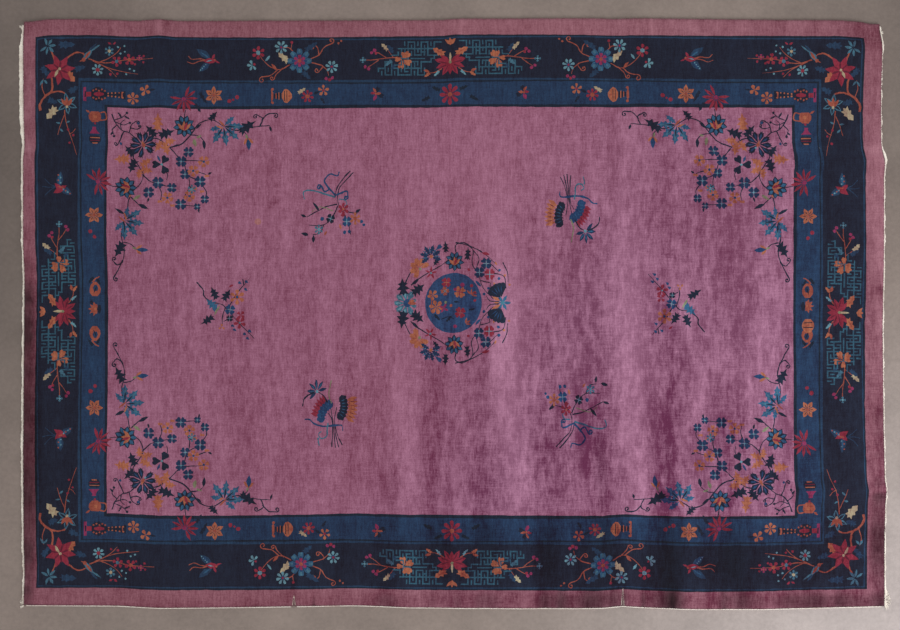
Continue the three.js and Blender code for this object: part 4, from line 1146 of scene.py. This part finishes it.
# The pile's painted light and shade, and its lay, at points of the design.
def painted_light_and_lay_of_pile(spots, x, y):
    # Painted light and shade from the ripples, the slopes and the creases.
    painted_crest_light = np.clip(PAINTED_CREST_LIGHT * read_field(ripple_field, x, y), CREST_LEAST, CREST_MOST)
    lie = painted_crest_light + PAINTED_CREASE_LIGHT * crease_height(spots)
    lie += PAINTED_SLOPE_LIGHT * read_field(slope_field, x, y) + along_lines(spots, PAINTED_SHEEN_MARKS)
    lie += painted_sheen_across("front", spots.imag, spots.real) * eased(spots.real, *FRONT_GROWS)
    lie += painted_sheen_across("back", spots.imag, spots.real) * eased(spots.real, *BACK_GROWS)
    lie += painted_sheen_across("left", spots.real, spots.imag) + painted_sheen_across("right", spots.real, spots.imag)
    # Stretches of painted light and shade.
    for middle, half_length, half_width, lighter in PAINTED_LIGHT_AND_SHADE_STRETCHES:
        across = (spots.real - middle.real) / half_length
        deep = (spots.imag - middle.imag) / half_width
        lie += lighter * np.exp(-(across ** 2 + deep ** 2) ** 2)
    return lie


def flattened(places):
    """Where points of the rug are in the design, near enough for its shading."""
    across = (places[:, 0] - pile_low.x) / (pile_high.x - pile_low.x)
    deep = (places[:, 1] - pile_low.y) / (pile_high.y - pile_low.y)
    x = PILE_LEFT + across * (PILE_RIGHT - PILE_LEFT)
    return x + 1j * (PILE_FRONT + deep * (PILE_BACK - PILE_FRONT))


# Wear and painted sheen grow to the right, along a slant, and fade towards the back.
WEAR_AND_SHEEN_SLANT = 0.45
WEAR_AND_SHEEN_PIVOT = -60
WEAR_AND_SHEEN_GROWS = (-66, 24, 0.32)
WEAR_AND_SHEEN_MIDDLE, WEAR_AND_SHEEN_FADE_FROM, WEAR_AND_SHEEN_FADE = 1.05, 20, 160
WEAR_AND_SHEEN_LEAST, WEAR_AND_SHEEN_MOST = 0.5, 1.2
BORDER_WEAR_AND_SHEEN = 0.5
FIELD_ENDS, FIELD_SIDES = (142, 138), (84.6, 80.6)


def set_pile(mesh):
    """Writes the pile's lay with its painted light and shade, and its wear and painted sheen, on a mesh of
    wool.
    """
    places = np.zeros(3 * len(mesh.vertices), np.float32)
    mesh.vertices.foreach_get("co", places)
    places = places.reshape(-1, 3)
    spots = flattened(places)
    lie = mesh.attributes.new("lie", "FLOAT", "POINT")
    lie.data.foreach_set("value", painted_light_and_lay_of_pile(spots, places[:, 0], places[:, 1]).astype(np.float32))
    # Wear and painted sheen, growing to the right and strongest in the field.
    worn = mesh.attributes.new("worn", "FLOAT", "POINT")
    share = eased(spots.real - WEAR_AND_SHEEN_SLANT * (spots.imag - WEAR_AND_SHEEN_PIVOT), *WEAR_AND_SHEEN_GROWS)
    share *= np.clip(WEAR_AND_SHEEN_MIDDLE - (spots.imag - WEAR_AND_SHEEN_FADE_FROM) / WEAR_AND_SHEEN_FADE, WEAR_AND_SHEEN_LEAST, WEAR_AND_SHEEN_MOST)
    in_field = eased(abs(spots.real), *FIELD_ENDS) * eased(abs(spots.imag), *FIELD_SIDES)
    share *= BORDER_WEAR_AND_SHEEN + (1 - BORDER_WEAR_AND_SHEEN) * in_field
    worn.data.foreach_set("value", share.astype(np.float32))


set_pile(rug_mesh)
rug_mesh.shade_smooth()


# Shader maths for every material here: a strand is one value in a material's wiring.
class Strand:
    def __init__(self, tree, socket=None):
        self.tree = tree
        self.socket = socket

    def node(self, kind, settings=None, sockets=None, out=0):
        made = self.tree.nodes.new(kind)
        for name, value in (settings or {}).items():
            if name == "stops":
                for place, shade in value[1:-1]:
                    made.color_ramp.elements.new(place)
                for stop, (place, shade) in zip(made.color_ramp.elements, value):
                    stop.position = place
                    stop.color = (*shade, 1) if hasattr(shade, "__len__") else (shade, shade, shade, 1)
            else:
                setattr(made, name, value)
        for name, value in (sockets or {}).items():
            if isinstance(value, Strand):
                self.tree.links.new(value.socket, made.inputs[name])
            else:
                made.inputs[name].default_value = value
        return Strand(self.tree, made.outputs[out])

    def other(self, out):
        return Strand(self.tree, self.socket.node.outputs[out])

    def maths(self, operation, a, b=0.0, clamped=False):
        return self.node("ShaderNodeMath", {"operation": operation, "use_clamp": clamped}, {0: a, 1: b})

    def __add__(self, more):
        return self.maths("ADD", self, more)

    def __sub__(self, less):
        return self.maths("SUBTRACT", self, less)

    def __rsub__(self, whole):
        return self.maths("SUBTRACT", whole, self)

    def __mul__(self, times):
        return self.maths("MULTIPLY", self, times)

    __radd__ = __add__
    __rmul__ = __mul__

    def clamped(self):
        return self.maths("ADD", self, 0.0, True)

    def attribute(self, name, out="Fac"):
        return self.node("ShaderNodeAttribute", {"attribute_name": name}, {}, out)

    def blend(self, share, first, second):
        return self.node("ShaderNodeMix", {"data_type": "RGBA"}, {0: share, 6: first, 7: second}, 2)

    def scaled(self, colour, times):
        return self.node("ShaderNodeVectorMath", {"operation": "SCALE"}, {"Vector": colour, "Scale": times})

    def joined(self, first, second):
        return self.node("ShaderNodeVectorMath", {"operation": "ADD"}, {0: first, 1: second})

    def stretched(self, vector, by):
        return self.node("ShaderNodeVectorMath", {"operation": "MULTIPLY"}, {0: vector, 1: by})

    def noise(self, vector, scale, detail=2.0, roughness=0.5):
        values = {"Vector": vector, "Scale": scale, "Detail": detail, "Roughness": roughness}
        return self.node("ShaderNodeTexNoise", {}, values)

    def bump(self, strength, distance, height):
        values = {"Strength": strength, "Distance": distance, "Height": height}
        return self.node("ShaderNodeBump", {}, values)


def new_finish(name):
    """A material with its shader, and a strand to wire it from."""
    finish = bpy.data.materials.new(name)
    finish.use_nodes = True
    shader = finish.node_tree.nodes["Principled BSDF"]
    return finish, Strand(finish.node_tree), shader


def wire_up(strand, shader, **sockets):
    for name, value in sockets.items():
        strand.tree.links.new(value.socket, shader.inputs[name.replace("_", " ")])


# Wool: tufts a few millimetres across in upright rows, brushed in streaks along the warp, darker and more
# mottled where wear and painted sheen are strongest.
wool, strand, shader = new_finish("cut_wool_pile")
shader.inputs["Sheen Weight"].default_value = 0.2
shader.inputs["Sheen Roughness"].default_value = 0.45
shader.inputs["Specular IOR Level"].default_value = 0.15
spot = strand.node("ShaderNodeTexCoord", {}, {}, "Object")
tuft = strand.noise(spot, 160, 3, 0.7)
stroke = strand.noise(strand.stretched(spot, (170, 26, 60)), 1, 3, 0.65)
weft = strand.noise(strand.stretched(spot, (18, 190, 60)), 1, 3, 0.6)
brush = strand.noise(strand.stretched(spot, (90, 16, 30)), 1, 4, 0.72)
band = strand.noise(strand.stretched(spot, (9, 1.1, 4)), 1, 3, 0.55)
cloud = strand.noise(strand.stretched(spot, (11, 3.6, 6)), 1, 6, 0.62)
patch = strand.noise(strand.stretched(spot, (34, 17, 20)), 1, 4, 0.66)
mottle = strand.node(
    "ShaderNodeValToRGB", {"stops": [(0.38, 0.0), (0.66, 1.0)]}, {"Fac": cloud + 0.3 * (brush - 0.5)})
# Painted light and shade of the pile, with its lay.
lie = strand.attribute("lie")
# Wear and painted sheen: stronger mottling, darker and cooler.
worn = strand.attribute("worn")
grainy = (
    0.9 * (tuft - 0.5) + 0.95 * (stroke - 0.5)
    + (0.35 + 0.45 * worn) * (weft - 0.5) + (0.4 + 0.95 * worn) * (brush - 0.5)
    + (0.3 + 0.9 * worn) * (band - 0.5) + (0.5 + 0.9 * worn) * (patch - 0.5) + worn * (0.11 - 0.36 * mottle)
)
grainy = strand.maths("MAXIMUM", grainy, 0.4 * grainy - 0.2)
# Painted shade: below the deepest tone the colour is darkened evenly.
DEEPEST_TONE = -0.25
DARKEST_GRAIN = -0.6
SHADE_DEPTH = 1.35
lightness = strand.maths("MAXIMUM", strand.maths("MAXIMUM", lie, DEEPEST_TONE) + grainy, DARKEST_GRAIN)
shade = 1.0 + SHADE_DEPTH * strand.maths("MINIMUM", lie - DEEPEST_TONE, 0.0)
# Painted sheen: lighter lay is painted paler and greyer, darker lay deeper in colour.
TONE_SHIFT = (0.86, 1.3, 1.12)
EVEN_TONE = (1.02, 1.0, 0.97)
WEAR_AND_SHEEN_TONE = (-0.08, -0.02, 0.06)
shift = strand.joined(strand.scaled(TONE_SHIFT, lightness), EVEN_TONE)
shift = strand.joined(shift, strand.scaled(WEAR_AND_SHEEN_TONE, worn))
colour = strand.scaled(strand.stretched(strand.attribute("dye", "Color"), shift), shade)
BACK_COTTON = (*dyed(170, 158, 146), 1)
BACK_PALER = 0.38
colour = strand.blend(BACK_PALER * strand.attribute("back"), colour, BACK_COTTON)
bump = strand.bump(0.45, 0.004, tuft + 0.5 * stroke)
wire_up(strand, shader, Base_Color=colour, Roughness=0.84 + 0.12 * tuft, Normal=bump)

rug_mesh.materials.append(wool)
rug = bpy.data.objects.new("rug_cloth", rug_mesh)
bpy.context.collection.objects.link(rug)
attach(rug, "root")
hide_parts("rug")


# Tufts at the rim.
# The cut ends of the outermost rows of knots, which stand out from the edge all round and blur it.
TUFT_SPACING = 0.0042
TUFT_LENGTH = 0.0042
TUFT_WIDTH = 0.0015
TUFT_ROWS = [(0.0012, 0.0098), (0.0030, 0.0072), (0.0034, 0.0042)]


def new_growth(name, **sizes):
    """A tree of geometry nodes with a named input for each size, and a strand for each."""
    tree = bpy.data.node_groups.new(name, "GeometryNodeTree")
    tree.interface.new_socket("Geometry", in_out="INPUT", socket_type="NodeSocketGeometry")
    for size, kind in sizes.items():
        tree.interface.new_socket(size, in_out="INPUT", socket_type="NodeSocket" + kind)
    tree.interface.new_socket("Geometry", in_out="OUTPUT", socket_type="NodeSocketGeometry")
    given = tree.nodes.new("NodeGroupInput")
    return tree, {socket.name: Strand(tree, socket) for socket in given.outputs if socket.name}


def end_growth(strand, material):
    realized = strand.node("GeometryNodeRealizeInstances", {}, {"Geometry": strand})
    finished = strand.node("GeometryNodeSetMaterial", {}, {"Geometry": realized, "Material": material})
    result = strand.tree.nodes.new("NodeGroupOutput")
    strand.tree.links.new(finished.socket, result.inputs["Geometry"])


def grown(name, lines, tree, layers=None, **sizes):
    """A plain mesh grown by a tree along lines of places, with layers of values for the places."""
    edges = []
    count = 0
    for line, closed in lines:
        edges += [(count + k, count + k + 1) for k in range(len(line) - 1)]
        edges += [(count + len(line) - 1, count)] if closed else []
        count += len(line)
    mesh = bpy.data.meshes.new(name)
    mesh.from_pydata([tuple(place) for line, _ in lines for place in line], edges, [])
    for layer, values in (layers or {}).items():
        written = mesh.attributes.new(layer, "FLOAT", "POINT")
        written.data.foreach_set("value", np.asarray(values, np.float32))
    piece = bpy.data.objects.new(name, mesh)
    bpy.context.collection.objects.link(piece)
    growth = piece.modifiers.new("growth", "NODES")
    growth.node_group = tree
    for item in tree.interface.items_tree:
        if item.in_out == "INPUT" and item.name in sizes:
            growth[item.identifier] = sizes[item.name]
    ready = bpy.context.evaluated_depsgraph_get()
    made = bpy.data.meshes.new_from_object(piece.evaluated_get(ready), depsgraph=ready)
    piece.modifiers.remove(growth)
    piece.data = made
    made.name = name
    return piece


def random_between(strand, low, high, seed):
    return strand.node("FunctionNodeRandomValue", {"data_type": "FLOAT"}, {2: low, 3: high, 8: seed}, 1)


def line_of(given):
    """The curve that a growth follows."""
    return given["Geometry"].node("GeometryNodeMeshToCurve", {}, {"Mesh": given["Geometry"]})


def roots_on(line, spacing):
    """Points at an even spacing along a curve."""
    return line.node("GeometryNodeCurveToPoints", {"mode": "LENGTH"}, {"Curve": line, "Length": spacing})


STRAY_LEAST, STRAY_MOST = (-0.7, -0.7, -0.5), (0.7, 0.7, 0.5)
TUFT_SIDES = 5
TUFT_TAPER = 0.35
tree, given = new_growth(
    "rim_tuft_growth", Spacing="Float", Length="Float", Width="Float", Material="Material")
line = line_of(given)
roots = roots_on(line, given["Spacing"])
upright = {0: roots.other("Tangent"), 1: (0, 0, 1)}
outwards = line.node("ShaderNodeVectorMath", {"operation": "CROSS_PRODUCT"}, upright)
astray = line.node(
    "FunctionNodeRandomValue", {"data_type": "FLOAT_VECTOR"}, {0: STRAY_LEAST, 1: STRAY_MOST, 8: 11})
way = line.joined(outwards, astray)
turn = line.node("FunctionNodeAlignRotationToVector", {"axis": "Z"}, {"Vector": way})
tuft = line.node(
    "GeometryNodeMeshCone", {"fill_type": "NGON"},
    {"Vertices": TUFT_SIDES, "Radius Top": TUFT_TAPER * given["Width"], "Radius Bottom": given["Width"],
     "Depth": given["Length"]})
tufts = line.node(
    "GeometryNodeInstanceOnPoints", {},
    {"Points": roots, "Instance": tuft, "Rotation": turn, "Scale": random_between(line, 0.55, 1.1, 12)})
end_growth(tufts, given["Material"])

rim_lines = []
for out, up in TUFT_ROWS:
    ring = rim_xy + rim_out * reach * out
    rim_lines.append((np.stack([ring.real, ring.imag, face_lift[rim] + up], axis=1), True))
rim_tufts = grown(
    "rim_tufts", rim_lines, tree, Spacing=TUFT_SPACING, Length=TUFT_LENGTH, Width=TUFT_WIDTH, Material=wool)
# The tufts carry the same painted light, shade, wear and sheen as the cloth.
set_pile(rim_tufts.data)
tuft_layer = rim_tufts.data.color_attributes.new("dye", "FLOAT_COLOR", "POINT")
tuft_layer.data.foreach_set("color", np.tile((*DYES["rose"], 1), len(rim_tufts.data.vertices)))
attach(rim_tufts, "root")


# End webs.
# At both short ends the undyed cotton warp is woven into a narrow plain web and sewn over with thick cotton.
# It is ragged and soiled, and wider where the wool has worn away.
WEB_STEP = 0.006
WEB_RIM = 0.0022
WEB_ROOT = 0.0036
WEB_UNDER = 0.0003
WEB_ENDS = 0.007, 0.006
WEB_LEFT_WIDEST, WEB_RIGHT_WIDEST = 0.02, 0.014
WEB_RAGGED = 0.0009
STITCH_SPACING = 0.0036
STITCH_THICK = 0.0013
STITCH_RISE = 0.0004

cotton, strand, shader = new_finish("raw_cotton")
shader.inputs["Specular IOR Level"].default_value = 0.15
spot = strand.node("ShaderNodeTexCoord", {}, {}, "Object")
soil = strand.noise(spot, 14, 4, 0.62)
thread = strand.noise(strand.stretched(spot, (700, 700, 400)), 1, 2, 0.6)
RAW_COTTON = (*dyed(247, 241, 231), 1)
SOILED = (*dyed(206, 193, 180), 1)
colour = strand.blend((2.6 * (soil - 0.42)).clamped(), RAW_COTTON, SOILED)
colour = strand.scaled(colour, 0.9 + 0.3 * thread + 0.16 * strand.attribute("tint"))
bump = strand.bump(0.5, 0.001, thread)
wire_up(strand, shader, Base_Color=colour, Roughness=0.82 + 0.14 * thread, Normal=bump)

tree, given = new_growth("overcast_growth", Spacing="Float", Thick="Float", Material="Material")
line = line_of(given)
roots = roots_on(line, given["Spacing"])
wide = line.node("GeometryNodeInputNamedAttribute", {"data_type": "FLOAT"}, {"Name": "wide"})
bead = line.node("GeometryNodeMeshUVSphere", {}, {"Segments": 6, "Rings": 5, "Radius": 1.0})
length = wide * random_between(line, 0.46, 0.62, 21)
thick = given["Thick"] * random_between(line, 0.75, 1.15, 22)
size = line.node("ShaderNodeCombineXYZ", {}, {"X": length, "Y": thick, "Z": thick})
slanted = random_between(line, -0.05, 0.4, 23)
slant = line.node("ShaderNodeCombineXYZ", {}, {"X": 0.0, "Y": 0.0, "Z": slanted})
stitches = line.node(
    "GeometryNodeInstanceOnPoints", {},
    {"Points": roots, "Instance": bead, "Rotation": slant, "Scale": size})
tinted = line.node(
    "GeometryNodeStoreNamedAttribute", {"data_type": "FLOAT", "domain": "INSTANCE"},
    {"Geometry": stitches, "Name": "tint", "Value": random_between(line, -0.5, 0.6, 24)})
end_growth(tinted, given["Material"])


def strip_mesh(name, inner, outer, along, root, rim):
    """A closed strip of web between two edges, thicker at the rug."""
    profile = [
        (0.0, WEB_UNDER), (0.5, 0.0), (0.96, WEB_UNDER), (1.0, 0.5 * rim), (0.94, rim),
        (0.5, 0.5 * (rim + root)), (0.06, root), (0.0, 0.5 * root),
    ]
    places = []
    for share, up in profile:
        places.append(np.stack([inner + share * (outer - inner), along, np.full(len(along), up)], axis=1))
    places = np.stack(places, axis=1)
    count = len(profile)
    faces = []
    for k in range(len(along) - 1):
        for j in range(count):
            a, b = k * count + j, k * count + (j + 1) % count
            faces.append((a, b, b + count, a + count))
    faces.append(tuple(range(count))[::-1])
    faces.append(tuple((len(along) - 1) * count + j for j in range(count)))
    mesh = bpy.data.meshes.new(name)
    mesh.from_pydata(places.reshape(-1, 3).tolist(), [], faces)
    if (outer - inner).mean() > 0:
        mesh.flip_normals()
    mesh.shade_smooth()
    return mesh


web_pieces = []
for end, side in (("left", -1), ("right", 1)):
    web_low, web_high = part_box("end_web_" + end)
    along = np.arange(web_low.y + WEB_ENDS[0], web_high.y - WEB_ENDS[1], WEB_STEP)
    web_solid = solid_of("end_web_" + end)
    outer = rim_reach(web_solid, 0, side, along)
    inner = rim_reach(web_solid, 0, -side, along)
    outer = inner + np.clip(outer - inner, -WEB_LEFT_WIDEST, WEB_RIGHT_WIDEST)
    outer = outer + side * WEB_RAGGED * rng.normal(0, 1, len(along))
    web_mesh = strip_mesh("web_strip_" + end, inner, outer, along, WEB_ROOT, WEB_RIM)
    web_mesh.materials.append(cotton)
    strip = bpy.data.objects.new("web_strip_" + end, web_mesh)
    bpy.context.collection.objects.link(strip)
    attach(strip, "root")
    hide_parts("end_web_" + end)
    middle = np.stack([(inner + outer) / 2, along, np.full(len(along), WEB_RIM + STITCH_RISE)], axis=1)
    sewn = grown(
        "web_overcast_" + end, [(middle, False)], tree, {"wide": abs(outer - inner)}, Spacing=STITCH_SPACING,
        Thick=STITCH_THICK, Material=cotton)
    sewn.data.shade_smooth()
    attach(sewn, "root")
    web_pieces += [strip, sewn]


# Frayed warp.
# At three corners, most of all the front right one, the web has come undone and its warp ends spread out in
# loose locks. Locks: end of the rug, distance from the front corner, length, and degrees off straight out.
THREAD_RADIUS = 0.0007
THREAD_SIDES = 5
THREADS_IN_LOCK = 10
THREAD_POINTS = 6
THREAD_ASTRAY = 9
THREAD_BEND = 0.3
THREAD_SPREAD = 0.002
THREAD_LOW, THREAD_RISE = 0.0008, 0.002
THREAD_ROOT = 0.003
LOCKS = [
    (1, 0.014, 0.022, -58), (1, 0.022, 0.026, -28), (1, 0.031, 0.030, -8), (1, 0.040, 0.027, 22),
    (1, 0.049, 0.023, 40), (-1, 0.012, 0.016, -20), (-1, 0.022, 0.018, 16), (-1, 0.034, 0.014, 44),
    (-1, 0.3, 0.012, 30), (-1, 0.72, 0.012, -10), (-1, 2.376, 0.03, 80), (-1, 2.372, 0.026, 88),
    (-1, 2.385, 0.026, 74), (-1, 2.34, 0.012, 0), (-1, 2.2, 0.01, -30), (1, 2.37, 0.012, 50),
]

tree, given = new_growth("warp_growth", Radius="Float", Material="Material")
line = line_of(given)
ring = line.node(
    "GeometryNodeCurvePrimitiveCircle", {"mode": "RADIUS"},
    {"Resolution": THREAD_SIDES, "Radius": given["Radius"]})
threads = line.node("GeometryNodeCurveToMesh", {}, {"Curve": line, "Profile Curve": ring, "Fill Caps": True})
end_growth(threads, given["Material"])

thread_lines = []
for end, at, length, bearing in LOCKS:
    rim_there = np.interp(pile_low.y + at, short_places, right_rim if end > 0 else left_rim)
    for k in range(THREADS_IN_LOCK):
        way = np.exp(1j * math.radians(bearing + rng.normal(0, THREAD_ASTRAY)))
        bend = rng.normal(0, THREAD_BEND)
        steps = np.linspace(0, 1, THREAD_POINTS)
        flat = length * rng.uniform(0.6, 1.05) * steps * way * np.exp(1j * bend * steps)
        x = rim_there + end * (THREAD_ROOT + flat.real)
        y = pile_low.y + at + rng.normal(0, THREAD_SPREAD) + flat.imag
        height = THREAD_LOW + THREAD_RISE * rng.uniform(0, 1) * np.sin(np.pi * (0.25 + 0.6 * steps))
        thread_lines.append((np.stack([x, y, height], axis=1), False))
frayed = grown("frayed_warp", thread_lines, tree, Radius=THREAD_RADIUS, Material=cotton)
frayed.data.shade_smooth()
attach(frayed, "root")
web_pieces.append(frayed)


# Front selvage.
# Along the front edge the outer warps are wrapped with cotton yarn into a round cord, in two stretches with
# the open split between them.
CORD_STEP = 0.012
CORD_INNER, CORD_OUTER = 0.0021, 0.0028
CORD_LOBES = 5
CORD_TURN = 190.0
CORD_RING = 0.004
CORD_ENDS = 0.004, 0.003
CORD_PROBE = 0.0005
CORD_SEAT = 0.003
CORD_NOSE = 0.0004

yarn, strand, shader = new_finish("cord_yarn")
shader.inputs["Specular IOR Level"].default_value = 0.15
spot = strand.node("ShaderNodeTexCoord", {}, {}, "Object")
soil = strand.noise(spot, 9, 4, 0.6)
ply = strand.noise(strand.stretched(spot, (900, 900, 900)), 1, 2, 0.6)
CORD_PALE = (*dyed(244, 236, 226), 1)
CORD_ROSE = (*dyed(186, 158, 150), 1)
colour = strand.blend((3.2 * (soil - 0.5)).clamped(), CORD_PALE, CORD_ROSE)
bump = strand.bump(0.4, 0.0008, ply)
colour = strand.scaled(colour, 0.8 + 0.4 * ply)
wire_up(strand, shader, Base_Color=colour, Roughness=0.82 + 0.14 * ply, Normal=bump)

tree, given = new_growth(
    "wrapped_cord_growth", Inner="Float", Outer="Float", Lobes="Int", Turn="Float", Step="Float",
    Material="Material")
line = line_of(given)
line = line.node("GeometryNodeResampleCurve", {"mode": "LENGTH"}, {"Curve": line, "Length": given["Step"]})
run = line.node("GeometryNodeSplineParameter", {}, {}, "Length")
line = line.node("GeometryNodeSetCurveTilt", {}, {"Curve": line, "Tilt": run * given["Turn"]})
lobed = line.node(
    "GeometryNodeCurveStar", {},
    {"Points": given["Lobes"], "Inner Radius": given["Inner"], "Outer Radius": given["Outer"]})
cord = line.node("GeometryNodeCurveToMesh", {}, {"Curve": line, "Profile Curve": lobed, "Fill Caps": True})
end_growth(cord, given["Material"])

for stretch in ("left", "right"):
    node = "selvage_front_" + stretch
    cord_low, cord_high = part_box(node)
    along = np.arange(cord_low.x + CORD_ENDS[0], cord_high.x - CORD_ENDS[1], CORD_STEP)
    cord_solid = solid_of(node)
    heights = np.arange(CORD_PROBE, cord_high.z, CORD_PROBE)
    front, top = [], []
    for x in along:
        seen = [cord_solid.ray_cast(Vector((x, -PROBE_FAR, h)), Vector((0, 1, 0)))[0] for h in heights]
        seen = [(place.y, h) for place, h in zip(seen, heights) if place is not None]
        nearest = min(y for y, _ in seen)
        front.append(nearest)
        top.append(np.mean([h for y, h in seen if y < nearest + CORD_NOSE]))
    middle = np.stack([along, np.array(front) + CORD_SEAT, np.array(top)], axis=1)
    middle[:, 2] = np.maximum(middle[:, 2], CORD_OUTER)
    piece = grown(
        node + "_cord", [(middle, False)], tree, Inner=CORD_INNER, Outer=CORD_OUTER, Lobes=CORD_LOBES,
        Turn=CORD_TURN, Step=CORD_RING, Material=yarn)
    piece.data.shade_smooth()
    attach(piece, "root")
    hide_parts(node)


# The floor, the light and the camera.
# A plain warm grey floor with painted pools of light and shade, under a large soft light at the right front,
# and a camera straight overhead.
floor_mesh = bpy.data.meshes.new("floor")
FLOOR_HALF = 9.0
floor_mesh.from_pydata(
    [(FLOOR_HALF * x, FLOOR_HALF * y, 0) for x, y in ((-1, -1), (1, -1), (1, 1), (-1, 1))],
    [], [(0, 1, 2, 3)])
plaster, strand, shader = new_finish("pale_floor")
spot = strand.node("ShaderNodeTexCoord", {}, {}, "Object")
# The floor's colour in its painted light and in its painted shade.
FLOOR_IN_PAINTED_LIGHT = (*dyed(178, 168, 166), 1)
FLOOR_IN_PAINTED_SHADE = (*dyed(137, 124, 117), 1)


def pool(middle, reach):
    """How near the floor is to a place, from nought at the reach to one."""
    ends = {0: spot, 1: (*middle, 0)}
    away = strand.node("ShaderNodeVectorMath", {"operation": "DISTANCE"}, ends, "Value")
    values = {"Value": away, "From Min": reach, "From Max": 0.0}
    return strand.node("ShaderNodeMapRange", {"interpolation_type": "SMOOTHSTEP"}, values)


# Painted light: a pool of light at the right front. Painted shade: pools of shade at the left and at the
# right back.
lit = pool((1.85, -1.65), 2.05)
dim = 0.6 * pool((-2.5, 0.7), 1.9) + 0.48 * pool((2.5, 1.0), 1.5)
grain = strand.noise(spot, 55, 5, 0.7)
blotch = strand.noise(spot, 4.5, 6, 0.62)
colour = strand.blend(lit, FLOOR_IN_PAINTED_SHADE, FLOOR_IN_PAINTED_LIGHT)
colour = strand.scaled(colour, (1.0 - dim) * (0.45 + 0.5 * grain + 0.6 * blotch))
wire_up(strand, shader, Base_Color=colour, Roughness=0.8 + 0.1 * strand.noise(spot, 40, 2, 0.5))
floor_mesh.materials.append(plaster)
floor = bpy.data.objects.new("floor", floor_mesh)
bpy.context.collection.objects.link(floor)

KEY_PLACE = Vector((3.7, -2.7, 3.2))
KEY_AIM = Vector((0.2, 0.1, 0))
KEY_SIZE = 2.6
KEY_POWER = 140
key_data = bpy.data.lights.new("soft_key", "AREA")
key_data.size = KEY_SIZE
key_data.energy = KEY_POWER
key = bpy.data.objects.new("soft_key", key_data)
key.location = KEY_PLACE
key.rotation_euler = (KEY_AIM - KEY_PLACE).to_track_quat("-Z", "Y").to_euler()
bpy.context.collection.objects.link(key)

SKY_STRENGTH = 0.69
sky = bpy.data.worlds.new("soft_room")
sky.use_nodes = True
sky.node_tree.nodes["Background"].inputs["Color"].default_value = (1, 0.985, 0.97, 1)
sky.node_tree.nodes["Background"].inputs["Strength"].default_value = SKY_STRENGTH
bpy.context.scene.world = sky
bpy.context.scene.view_settings.view_transform = "Standard"

# The photograph is 900 by 630 and spans 3.708 m of floor from straight above.
VIEW_WIDTH = 3.708
VIEW_MIDDLE = (-0.0208, -0.0027)
LENS = 50
camera_data = bpy.data.cameras.new("overhead")
camera_data.lens = LENS
camera = bpy.data.objects.new("overhead", camera_data)
camera.location = (*VIEW_MIDDLE, PILE_THICK + VIEW_WIDTH * LENS / camera_data.sensor_width)
bpy.context.collection.objects.link(camera)
bpy.context.scene.camera = camera
